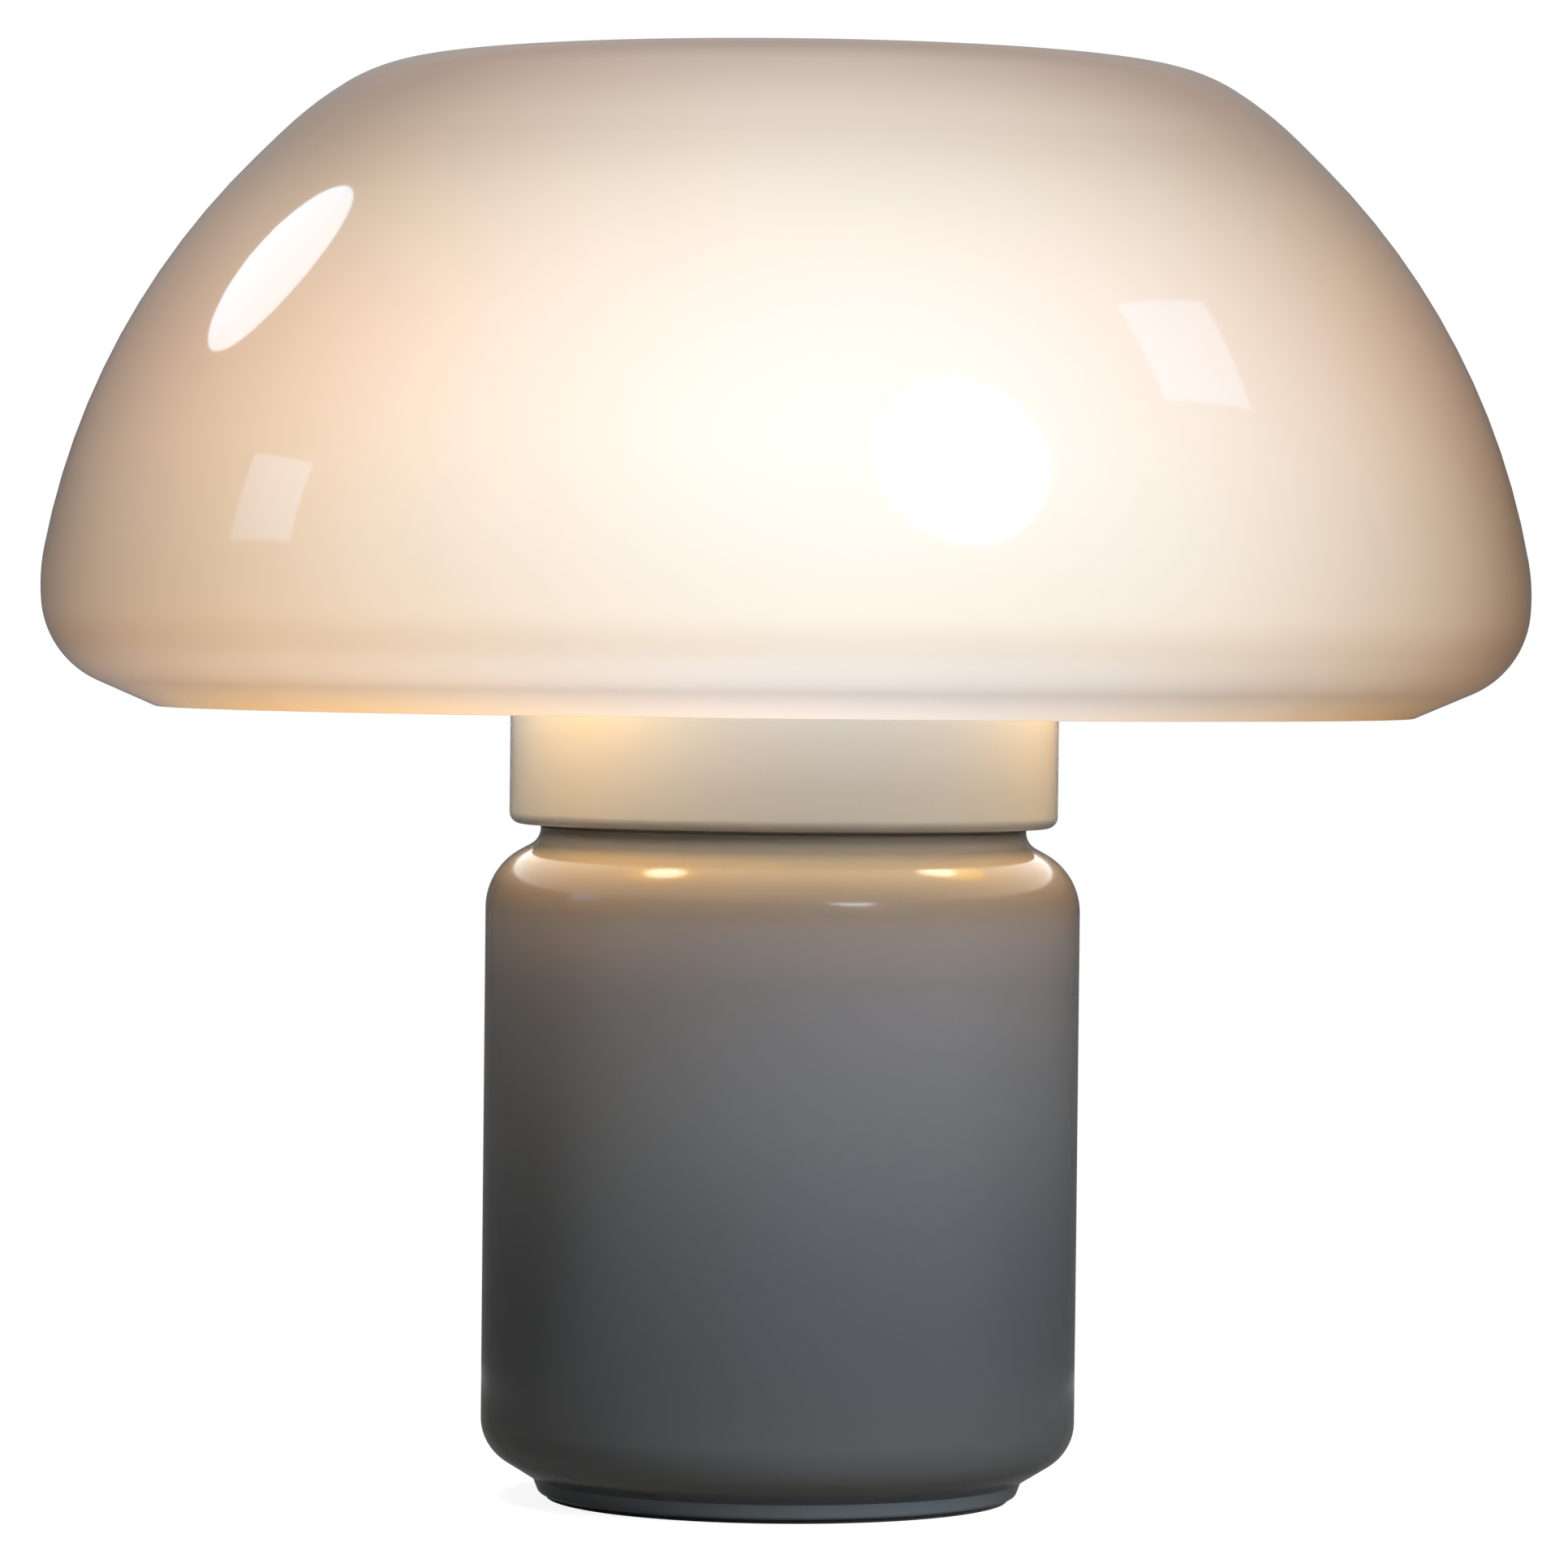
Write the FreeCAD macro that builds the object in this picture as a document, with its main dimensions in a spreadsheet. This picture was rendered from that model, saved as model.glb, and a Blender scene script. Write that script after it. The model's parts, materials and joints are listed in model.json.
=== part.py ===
"""Mushroom table lamp.

An enamelled base with a narrow neck carries a white collar.  A threaded rod clamps the stack
and reaches up into a loose opal shade, which rests on three rubber pads.  Three small bulbs lie
flat above the collar, one every third of a turn.

Lengths are in millimetres and angles in degrees.  Z is up, the origin is the centre of the
underside and the front looks towards -Y.
"""
import FreeCAD, Part
import math
import os

import Sketcher
from FreeCAD import Placement, Rotation, Vector

os.makedirs("parts", exist_ok=True)
doc = FreeCAD.newDocument("mushroom_lamp")

# ---------------------------------------------------------------------------------------------
# Driving sizes
# ---------------------------------------------------------------------------------------------

DRIVING_SIZES = {
    # shade: outer outline from the apex down to the rim, one arc running into the next
    "shade_radius": 180.0,
    "shade_widest_height": 220.2,
    "shade_wall": 3.0,
    "crown_radius": 39.6,
    "crown_turn": 27.75,
    "shoulder_radius": 89.4,
    "shoulder_turn": 12.58,
    "slope_length": 8.2,
    "side_radius": 178.4,
    "side_turn": 34.81,
    "belly_radius": 47.9,
    "belly_turn_above": 10.5,
    "belly_turn_below": 5.1,
    "bulge_radius": 22.95,
    "bulge_turn": 61.5,
    "lip_length": 14.8,
    # base shell
    "shell_radius": 72.1,
    "shell_wall": 1.5,
    "shell_lower_corner_height": 12.6,
    "shell_lower_rounding": 11.6,
    "shell_upper_corner_height": 152.3,
    "shell_upper_rounding": 16.0,
    "neck_radius": 58.9,
    "neck_corner_height": 159.65,
    "neck_rounding": 4.4,
    "neck_top": 163.3,
    "neck_edge_rounding": 0.7,
    "neck_opening_radius": 25.0,
    # foot and ballast
    "felt_thickness": 1.0,
    "felt_radius": 56.0,
    "foot_thickness": 3.8,
    "foot_top_radius": 59.4,
    "foot_bottom_radius": 57.9,
    "foot_rounding": 1.6,
    "ballast_radius": 49.0,
    "ballast_thickness": 22.0,
    "ballast_clearance": 1.5,
    "nut_recess_radius": 10.5,
    "nut_recess_depth": 6.0,
    "foot_screw_circle": 35.0,
    "foot_screw_radius": 2.5,
    "foot_screw_head_radius": 4.6,
    "foot_screw_length": 14.0,
    "foot_screw_spare_depth": 1.5,
    # cable inlet in the back of the base
    "inlet_height": 34.0,
    "inlet_bore_radius": 2.8,
    "inlet_neck_radius": 4.2,
    "inlet_flange_radius": 6.5,
    "inlet_flange_thickness": 1.6,
    # collar
    "collar_radius": 66.5,
    "collar_wall": 1.5,
    "collar_height": 41.7,
    "collar_bottom_rounding": 2.8,
    "collar_top_rounding": 1.6,
    "collar_flange_width": 8.0,
    "bushing_offset": 18.0,
    "bushing_bore_radius": 2.6,
    "bushing_neck_radius": 3.9,
    "bushing_flange_radius": 5.4,
    "bushing_flange_thickness": 1.2,
    "plate_rim_gap": 1.5,
    "plate_thickness": 1.5,
    "plate_screw_inset": 5.0,
    "plate_screw_radius": 1.6,
    "plate_screw_length": 8.0,
    # rod with its nuts and washers
    "rod_radius": 5.0,
    "rod_bore_radius": 3.5,
    "rod_bottom": 3.6,
    "rod_end": 1.5,
    "nut_thickness": 4.0,
    "nut_corner_radius": 8.1,
    "washer_radius": 9.5,
    "washer_thickness": 1.4,
    # bulbs and their holders, along a horizontal axis that starts at the rod
    "first_bulb_angle": -137.0,
    "bulb_radius": 22.5,
    "bulb_tip_reach": 115.0,
    "bulb_neck_radius": 6.2,
    "bulb_neck_rounding": 12.0,
    "bulb_neck_start": 54.0,
    "bulb_glass_wall": 0.8,
    "cap_radius": 6.85,
    "cap_wall": 0.5,
    "cap_start": 42.0,
    "cap_end": 62.4,
    "cap_insulator_radius": 5.0,
    "cap_insulator_length": 1.7,
    "cap_tip_radius": 2.3,
    "cap_tip_length": 2.0,
    "holder_radius": 13.0,
    "holder_lift": 5.5,
    "holder_start": 18.0,
    "holder_end": 62.0,
    "holder_rounding": 1.5,
    "holder_floor": 36.0,
    "holder_contact_radius": 2.5,
    "sleeve_wall": 0.45,
    "sleeve_start": 38.5,
    "sleeve_end": 60.5,
    "nipple_start": 9.4,
    "nipple_seat": 11.0,
    "bracket_thickness": 1.5,
    "bracket_width": 22.0,
    "bracket_foot_length": 24.0,
    "bracket_head_margin": 4.0,
    "wire_hole_reach": 24.5,
    "bracket_screw_reach": 34.0,
    "screw_radius": 2.0,
    "screw_head_radius": 3.6,
    "screw_head_height": 2.3,
    "screw_length": 9.0,
    "small_nut_thickness": 3.2,
    "small_nut_corner_radius": 4.0,
    # wiring inside the collar
    "block_reach": 42.0,
    "block_width": 16.0,
    "block_length": 30.0,
    "block_height": 13.0,
    "block_pole_pitch": 9.0,
    "block_pole_height": 5.0,
    "block_pole_radius": 2.0,
    "block_screw_radius": 1.8,
    "block_screw_length": 4.0,
    "earth_screw_reach": 44.0,
    "wire_radius": 1.6,
    "wire_hole_radius": 3.2,
    "wire_rod_gap": 3.2,
    "wire_lead": 9.0,
    "wire_bend_height": 188.0,
    "wire_seat": 3.0,
    # carrier of the shade
    "pad_angle": 38.0,
    "pad_radius": 5.0,
    "arm_radius": 2.0,
    "arm_seat": 5.5,
    "arm_tip": 2.0,
    "hub_radius": 12.0,
    "hub_thickness": 8.0,
    # clearances
    "hole_clearance": 0.1,
    "thread_clearance": 0.3,
    "seat_gap": 0.3,
}

# how much of the shorter run beside it a wire's bend takes up
BEND_SHARE = 0.45

THIRDS = 3
THIRD_TURN = 360.0 / THIRDS

sheet = doc.addObject("Spreadsheet::Sheet", "Sizes")
for row, (alias, number) in enumerate(DRIVING_SIZES.items(), start=1):
    sheet.set(f"A{row}", alias)
    sheet.set(f"B{row}", str(number))
    sheet.setAlias(f"B{row}", alias)
doc.recompute()


class Size:
    """A number together with the sheet expression that gives it."""

    def __init__(self, number, text=None):
        self.number = float(number)
        self.text = repr(self.number) if text is None else text

    def __add__(self, other):
        other = as_size(other)
        return Size(self.number + other.number, f"({self.text} + {other.text})")

    def __sub__(self, other):
        other = as_size(other)
        return Size(self.number - other.number, f"({self.text} - {other.text})")

    def __mul__(self, other):
        other = as_size(other)
        return Size(self.number * other.number, f"({self.text} * {other.text})")

    def __truediv__(self, other):
        other = as_size(other)
        return Size(self.number / other.number, f"({self.text} / {other.text})")

    def __neg__(self):
        return Size(-self.number, f"(-1 * {self.text})")


def as_size(value):
    return value if isinstance(value, Size) else Size(value)


def sine(angle):
    return Size(math.sin(math.radians(angle.number)), f"sin({angle.text})")


def cosine(angle):
    return Size(math.cos(math.radians(angle.number)), f"cos({angle.text})")


def tangent(angle):
    return Size(math.tan(math.radians(angle.number)), f"tan({angle.text})")


def slope_angle(rise, run):
    ratio = rise / run
    return Size(math.degrees(math.atan(ratio.number)), f"(atan({ratio.text}) / 1 deg)")


class Sheet:
    """Each driving size, by its name."""

    def __getattr__(self, name):
        return Size(DRIVING_SIZES[name], f"{sheet.Name}.{name}")


size = Sheet()
ZERO = Size(0.0)

# ---------------------------------------------------------------------------------------------
# Bodies, simple solids and patterns
# ---------------------------------------------------------------------------------------------

nodes = []


def new_body(name, height=ZERO, angle=ZERO):
    """A body named after its node, raised to a height and turned about the lamp's axis."""
    body = doc.addObject("PartDesign::Body", name)
    body.Label = name
    body.AllowCompound = True
    body.Placement = Placement(Vector(0, 0, height.number), Rotation(Vector(0, 0, 1), angle.number))
    body.setExpression("Placement.Base.z", height.text)
    if angle.number:
        body.setExpression("Placement.Rotation.Angle", angle.text)
    nodes.append(body)
    return body


def origin_feature(body, role):
    return next(item for item in body.Origin.OriginFeatures if item.Role == role)


def attach(feature, body, role):
    feature.AttachmentSupport = [(origin_feature(body, role), "")]
    feature.MapMode = "FlatFace"


def primitive(body, kind, name, sizes, at, plane="XY_Plane"):
    """A primitive feature; `at` is its place in the plane's own axes."""
    feature = body.newObject(kind, name)
    attach(feature, body, plane)
    for field, value in sizes.items():
        feature.setExpression(field, as_size(value).text)
    for axis, value in zip("xyz", at):
        feature.setExpression(f"AttachmentOffset.Base.{axis}", as_size(value).text)
    return feature


def upright_cylinder(body, name, radius, low, high, x=ZERO, y=ZERO, cut=False):
    kind = "PartDesign::SubtractiveCylinder" if cut else "PartDesign::AdditiveCylinder"
    return primitive(body, kind, name, {"Radius": radius, "Height": high - low}, (x, y, low))


def level_cylinder(body, name, radius, start, end, y=ZERO, z=ZERO, cut=False):
    """A cylinder along +X, between two distances from the lamp's axis."""
    kind = "PartDesign::SubtractiveCylinder" if cut else "PartDesign::AdditiveCylinder"
    sizes = {"Radius": radius, "Height": end - start}
    return primitive(body, kind, name, sizes, (y, z, start), "YZ_Plane")


def box(body, name, low, high):
    """A box between two corners, each given as three sizes."""
    length, width, height = (end - start for start, end in zip(low, high))
    sizes = {"Length": length, "Width": width, "Height": height}
    return primitive(body, "PartDesign::AdditiveBox", name, sizes, low)


def hexagon(body, name, corner_radius, low, high, at_x=ZERO, plane="XY_Plane"):
    place = (at_x, ZERO, low) if plane == "XY_Plane" else (ZERO, ZERO, low)
    sizes = {"Circumradius": corner_radius, "Height": high - low}
    feature = primitive(body, "PartDesign::AdditivePrism", name, sizes, place, plane)
    feature.Polygon = 6
    return feature


def every_third(body, features):
    """Repeats features three times around the lamp's axis."""
    doc.recompute()
    pattern = body.newObject("PartDesign::PolarPattern", f"{body.Name}_thirds")
    pattern.Originals = features
    pattern.Axis = (origin_feature(body, "Z_Axis"), [""])
    pattern.Angle = 360
    pattern.Occurrences = THIRDS
    body.Tip = pattern
    return pattern


# ---------------------------------------------------------------------------------------------
# Outlines for turned and spun pieces, in the plane of x = radius and y = height
# ---------------------------------------------------------------------------------------------

ORIGIN_POINT = (-1, 1)
HEIGHT_AXIS = -2
START, END, CENTRE = range(1, 4)


def outline_sketch(body):
    sketch = body.newObject("Sketcher::SketchObject", f"{body.Name}_outline")
    attach(sketch, body, "XZ_Plane")
    return sketch


def bind(sketch, constraint, value):
    index = sketch.addConstraint(constraint)
    sketch.setExpression(f"Constraints[{index}]", value.text)


def place_point(sketch, geometry, point, x, y):
    """Ties a point of the sketch to its distances from the origin."""
    if x.number:
        bind(sketch, Sketcher.Constraint("DistanceX", *ORIGIN_POINT, geometry, point, x.number), x)
    else:
        sketch.addConstraint(Sketcher.Constraint("PointOnObject", geometry, point, HEIGHT_AXIS))
    if y.number:
        bind(sketch, Sketcher.Constraint("DistanceY", *ORIGIN_POINT, geometry, point, y.number), y)
    else:
        sketch.addConstraint(Sketcher.Constraint("PointOnObject", geometry, point, -1))


def unit(vector):
    return vector * (1.0 / vector.Length)


def rounded_outline(sketch, corners):
    """A closed outline of straight lines; a corner is (radius, height) or has a rounding too."""
    points = [Vector(corner[0].number, corner[1].number, 0) for corner in corners]
    roundings = [corner[2] if len(corner) > 2 else None for corner in corners]
    count = len(corners)
    arrivals, departures, arcs = [], [], []
    for index, point in enumerate(points):
        back = unit(points[index - 1] - point)
        ahead = unit(points[(index + 1) % count] - point)
        if roundings[index] is None:
            arrivals.append(point)
            departures.append(point)
            arcs.append(None)
            continue
        half_turn = (math.pi - back.getAngle(ahead)) / 2
        reach = roundings[index].number * math.tan(half_turn)
        arrivals.append(point + back * reach)
        departures.append(point + ahead * reach)
        middle = point + unit(back + ahead) * (roundings[index].number * (1 / math.cos(half_turn) - 1))
        arcs.append(Part.Arc(arrivals[index], middle, departures[index]))
    lines = []
    for index in range(count):
        following = (index + 1) % count
        lines.append(sketch.addGeometry(Part.LineSegment(departures[index], arrivals[following])))
    for index, corner in enumerate(corners):
        before, after = lines[index - 1], lines[index]
        if arcs[index] is None:
            sketch.addConstraint(Sketcher.Constraint("Coincident", before, END, after, START))
            place_point(sketch, after, START, corner[0], corner[1])
            continue
        arc = sketch.addGeometry(arcs[index])
        approach = points[index] - arrivals[index]
        turns_left = approach.cross(departures[index] - points[index]).z > 0
        first, last = (START, END) if turns_left else (END, START)
        sketch.addConstraint(Sketcher.Constraint("Tangent", before, END, arc, first))
        sketch.addConstraint(Sketcher.Constraint("Tangent", arc, last, after, START))
        bind(sketch, Sketcher.Constraint("Radius", arc, roundings[index].number), roundings[index])
        apex = sketch.addGeometry(Part.Point(points[index]), True)
        place_point(sketch, apex, START, corner[0], corner[1])
        sketch.addConstraint(Sketcher.Constraint("PointOnObject", apex, START, before))
        sketch.addConstraint(Sketcher.Constraint("PointOnObject", apex, START, after))


class SmoothRun:
    """A run of lines and arcs in a sketch, each leaving in the direction the last one arrived."""

    def __init__(self, sketch, start, heading):
        self.sketch = sketch
        self.point = start
        self.heading = heading
        self.last = None

    def _join(self, geometry, first, last):
        if self.last is not None:
            self.sketch.addConstraint(Sketcher.Constraint("Tangent", *self.last, geometry, first))
        self.last = (geometry, last)
        return geometry

    def line(self, length, bound=True):
        end = self.point + direction(self.heading) * length.number
        geometry = self.sketch.addGeometry(Part.LineSegment(self.point, end))
        self._join(geometry, START, END)
        if bound:
            bind(self.sketch, Sketcher.Constraint("Distance", geometry, length.number), length)
        self.point = end
        return geometry

    def arc(self, radius, turn, bound=True, turn_bound=True):
        """A positive turn bends to the left."""
        side = 1 if turn.number > 0 else -1
        centre = self.point + direction(self.heading + 90 * side) * radius.number
        arrival = self.heading + turn.number
        end = centre - direction(arrival + 90 * side) * radius.number
        middle = centre - direction(self.heading + turn.number / 2 + 90 * side) * radius.number
        geometry = self.sketch.addGeometry(Part.Arc(self.point, middle, end))
        first, last = (START, END) if side > 0 else (END, START)
        self._join(geometry, first, last)
        if bound:
            bind(self.sketch, Sketcher.Constraint("Radius", geometry, radius.number), radius)
        if turn_bound:
            span = turn * side
            radians = math.radians(span.number)
            bind(self.sketch, Sketcher.Constraint("Angle", geometry, radians), span)
        self.point = end
        self.heading = arrival
        return geometry


def direction(heading):
    return Vector(math.cos(math.radians(heading)), math.sin(math.radians(heading)), 0)


def turn_outline(body, sketch, axis="V_Axis"):
    doc.recompute()
    revolution = body.newObject("PartDesign::Revolution", f"{body.Name}_turned")
    revolution.Profile = sketch
    revolution.ReferenceAxis = (sketch, [axis])
    revolution.Angle = 360
    sketch.Visibility = False
    return revolution


# ---------------------------------------------------------------------------------------------
# Heights and places that follow from the driving sizes
# ---------------------------------------------------------------------------------------------

foot_top = size.felt_thickness + size.foot_thickness
shell_bottom = foot_top
ballast_top = foot_top + size.ballast_thickness
recess_top = foot_top + size.nut_recess_depth
collar_bottom = size.neck_top
collar_floor = collar_bottom + size.collar_wall
collar_top = collar_bottom + size.collar_height
plate_bottom = collar_top
plate_top = plate_bottom + size.plate_thickness
plate_radius = size.collar_radius - size.plate_rim_gap
bulb_height = plate_top + size.holder_lift + size.holder_radius
rod_hole = size.rod_radius + size.hole_clearance
wall_inside = size.shell_radius - size.shell_wall
bracket_face = size.holder_start - size.bracket_thickness
bracket_top = plate_top + size.bracket_thickness
block_angle = size.first_bulb_angle + 180
bulb_angles = [size.first_bulb_angle + THIRD_TURN * index for index in range(THIRDS)]
arm_angles = [angle + THIRD_TURN / 2 for angle in bulb_angles]

# normals of the shade's outline, measured from straight up
side_top_normal = Size(90) - size.belly_turn_above - size.side_turn
side_low_normal = Size(90) - size.belly_turn_above
belly_centre = (size.shade_radius - size.belly_radius, size.shade_widest_height)
side_step = size.belly_radius - size.side_radius
shoulder_step = size.side_radius - size.shoulder_radius
shoulder_centre_x = (
    belly_centre[0]
    + side_step * sine(side_low_normal)
    + shoulder_step * sine(side_top_normal)
    - size.slope_length * cosine(side_top_normal)
)
shoulder_centre_z = (
    belly_centre[1]
    + side_step * cosine(side_low_normal)
    + shoulder_step * cosine(side_top_normal)
    + size.slope_length * sine(side_top_normal)
)
pad_depth = size.shoulder_radius - size.shade_wall - size.seat_gap - size.pad_radius
pad_reach = shoulder_centre_x + pad_depth * sine(size.pad_angle)
pad_height = shoulder_centre_z + pad_depth * cosine(size.pad_angle)
hub_bottom = pad_height - size.hub_thickness / 2
hub_top = pad_height + size.hub_thickness / 2
rod_top = hub_top + size.washer_thickness + size.nut_thickness + size.rod_end


# ---------------------------------------------------------------------------------------------
# Foot, ballast and base shell
# ---------------------------------------------------------------------------------------------

def make_felt_pad():
    body = new_body("felt_pad")
    upright_cylinder(body, "felt_disc", size.felt_radius, ZERO, size.felt_thickness)


def make_foot_plate():
    body = new_body("foot_plate")
    sketch = outline_sketch(body)
    rounded_outline(sketch, [
        (size.nut_recess_radius, size.felt_thickness),
        (size.foot_bottom_radius, size.felt_thickness, size.foot_rounding),
        (size.foot_top_radius, foot_top),
        (size.nut_recess_radius, foot_top),
    ])
    turn_outline(body, sketch)
    hole = upright_cylinder(
        body, "foot_screw_hole", size.foot_screw_radius + size.hole_clearance,
        size.felt_thickness, foot_top, x=size.foot_screw_circle, cut=True)
    sink = countersink(body, "foot_screw_sink", size.hole_clearance, cut=True)
    every_third(body, [hole, sink])


def countersink(body, name, clearance, cut=False):
    """The cone of a countersunk head, or the seat for it, flush with the foot's underside."""
    kind = "PartDesign::SubtractiveCone" if cut else "PartDesign::AdditiveCone"
    wide = size.foot_screw_head_radius + clearance
    narrow = size.foot_screw_radius + clearance
    sizes = {"Radius1": wide, "Radius2": narrow, "Height": wide - narrow}
    place = (size.foot_screw_circle, ZERO, size.felt_thickness)
    return primitive(body, kind, name, sizes, place)


def make_foot_screws():
    body = new_body("foot_screws")
    head = countersink(body, "foot_screw_head", ZERO)
    shank = upright_cylinder(
        body, "foot_screw_shank", size.foot_screw_radius, size.felt_thickness,
        size.felt_thickness + size.foot_screw_length, x=size.foot_screw_circle)
    every_third(body, [head, shank])


def make_ballast():
    body = new_body("ballast")
    upright_cylinder(body, "ballast_disc", size.ballast_radius, foot_top, ballast_top)
    upright_cylinder(body, "ballast_bore", rod_hole, foot_top, ballast_top, cut=True)
    upright_cylinder(body, "nut_recess", size.nut_recess_radius, foot_top, recess_top, cut=True)
    hole = upright_cylinder(
        body, "ballast_screw_hole", size.foot_screw_radius + size.hole_clearance, foot_top,
        size.felt_thickness + size.foot_screw_length + size.foot_screw_spare_depth,
        x=size.foot_screw_circle, cut=True)
    every_third(body, [hole])


def make_base_shell():
    """Spun sheet of even wall: both outlines share their corners, one wall apart."""
    wall = size.shell_wall
    lower_rise = slope_angle(
        size.shell_lower_corner_height - shell_bottom, size.shell_radius - size.foot_top_radius)
    upper_rise = slope_angle(
        size.neck_corner_height - size.shell_upper_corner_height, size.shell_radius - size.neck_radius)
    lower_half_turn = (Size(90) - lower_rise) / 2
    upper_half_turn = (Size(90) - upper_rise) / 2
    opening = size.ballast_radius + size.ballast_clearance
    body = new_body("base_shell")
    sketch = outline_sketch(body)
    rounded_outline(sketch, [
        (opening, shell_bottom),
        (size.foot_top_radius, shell_bottom),
        (size.shell_radius, size.shell_lower_corner_height, size.shell_lower_rounding),
        (size.shell_radius, size.shell_upper_corner_height, size.shell_upper_rounding),
        (size.neck_radius, size.neck_corner_height, size.neck_rounding),
        (size.neck_radius, size.neck_top, size.neck_edge_rounding),
        (size.neck_opening_radius, size.neck_top),
        (size.neck_opening_radius, size.neck_top - wall),
        (size.neck_radius - wall, size.neck_top - wall),
        (size.neck_radius - wall, size.neck_corner_height - wall * tangent(upper_half_turn),
         size.neck_rounding),
        (wall_inside, size.shell_upper_corner_height - wall * tangent(upper_half_turn),
         size.shell_upper_rounding - wall),
        (wall_inside, size.shell_lower_corner_height + wall * tangent(lower_half_turn),
         size.shell_lower_rounding - wall),
        (size.foot_top_radius - wall * tangent(lower_rise / 2), shell_bottom + wall),
        (opening, shell_bottom + wall),
    ])
    turn_outline(body, sketch)
    doc.recompute()
    inlet_radius = size.inlet_neck_radius + size.hole_clearance
    hole = body.newObject("PartDesign::SubtractiveCylinder", "inlet_hole")
    attach(hole, body, "XZ_Plane")
    hole.AttachmentOffset = Placement(Vector(0, 0, 0), Rotation(Vector(0, 1, 0), 180))
    hole.setExpression("Radius", inlet_radius.text)
    hole.setExpression("Height", (size.shell_radius + size.inlet_flange_thickness).text)
    hole.setExpression("AttachmentOffset.Base.y", size.inlet_height.text)


def make_cable_grommet():
    """A rubber ring in the back wall, with a groove for the sheet."""
    body = new_body("cable_grommet", size.inlet_height, Size(90))
    corner_sag = size.inlet_flange_radius * size.inlet_flange_radius / (wall_inside * 2)
    inner_face = wall_inside - corner_sag - size.hole_clearance
    inner_end = inner_face - size.inlet_flange_thickness
    outer_end = size.shell_radius + size.inlet_flange_thickness
    flange = size.inlet_flange_radius
    level_cylinder(body, "grommet_neck", size.inlet_neck_radius, inner_end, outer_end)
    level_cylinder(body, "grommet_inner_flange", flange, inner_end, inner_face)
    level_cylinder(body, "grommet_outer_flange", flange, size.shell_radius, outer_end)
    level_cylinder(body, "grommet_bore", size.inlet_bore_radius, inner_end, outer_end, cut=True)


# ---------------------------------------------------------------------------------------------
# Rod, nuts and washers
# ---------------------------------------------------------------------------------------------

def make_threaded_rod():
    body = new_body("threaded_rod")
    upright_cylinder(body, "rod_outside", size.rod_radius, size.rod_bottom, rod_top)
    upright_cylinder(body, "rod_bore", size.rod_bore_radius, size.rod_bottom, rod_top, cut=True)


def make_rod_nuts():
    """Each nut bears on a washer or, under the collar's plate and the hub, on the piece itself."""
    body = new_body("rod_nuts")
    bottoms = {
        "ballast_lower_nut": recess_top - size.washer_thickness - size.nut_thickness,
        "ballast_upper_nut": ballast_top + size.washer_thickness,
        "collar_nut": collar_floor + size.washer_thickness,
        "plate_lower_nut": plate_bottom - size.nut_thickness,
        "plate_upper_nut": plate_top + size.washer_thickness,
        "hub_lower_nut": hub_bottom - size.nut_thickness,
        "hub_upper_nut": hub_top + size.washer_thickness,
    }
    for name, bottom in bottoms.items():
        hexagon(body, name, size.nut_corner_radius, bottom, bottom + size.nut_thickness)
    upright_cylinder(body, "nut_thread", rod_hole, ZERO, rod_top, cut=True)


def make_rod_washers():
    body = new_body("rod_washers")
    bottoms = {
        "ballast_lower_washer": recess_top - size.washer_thickness,
        "ballast_upper_washer": ballast_top,
        "collar_washer": collar_floor,
        "plate_washer": plate_top,
        "hub_washer": hub_top,
    }
    for name, bottom in bottoms.items():
        upright_cylinder(body, name, size.washer_radius, bottom, bottom + size.washer_thickness)
    upright_cylinder(body, "washer_hole", rod_hole, ZERO, rod_top, cut=True)


# ---------------------------------------------------------------------------------------------
# Collar, its plate and what is inside it
# ---------------------------------------------------------------------------------------------

def make_collar():
    wall = size.collar_wall
    inside = size.collar_radius - wall
    flange_edge = size.collar_radius - size.collar_flange_width
    body = new_body("collar", angle=size.first_bulb_angle)
    sketch = outline_sketch(body)
    rounded_outline(sketch, [
        (rod_hole, collar_bottom),
        (size.collar_radius, collar_bottom, size.collar_bottom_rounding),
        (size.collar_radius, collar_top, size.collar_top_rounding),
        (flange_edge, collar_top),
        (flange_edge, collar_top - wall),
        (inside, collar_top - wall),
        (inside, collar_floor, size.collar_bottom_rounding - wall),
        (rod_hole, collar_floor),
    ])
    turn_outline(body, sketch)
    upright_cylinder(
        body, "bushing_hole", size.bushing_neck_radius + size.hole_clearance,
        collar_bottom, collar_floor, x=size.bushing_offset, cut=True)
    upright_cylinder(
        body, "earth_screw_hole", size.screw_radius + size.hole_clearance,
        collar_bottom, collar_floor, y=size.earth_screw_reach, cut=True)
    hole = plate_screw_hole(body, "flange_screw_hole", collar_top - wall, collar_top)
    every_third(body, [hole])


def plate_screw_place():
    """The plate's screws sit between the bulbs, near the rim."""
    reach = size.collar_radius - size.plate_screw_inset
    angle = Size(THIRD_TURN / 2)
    return reach * cosine(angle), reach * sine(angle)


def plate_screw_hole(body, name, low, high):
    x, y = plate_screw_place()
    radius = size.plate_screw_radius + size.hole_clearance
    return upright_cylinder(body, name, radius, low, high, x=x, y=y, cut=True)


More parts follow.
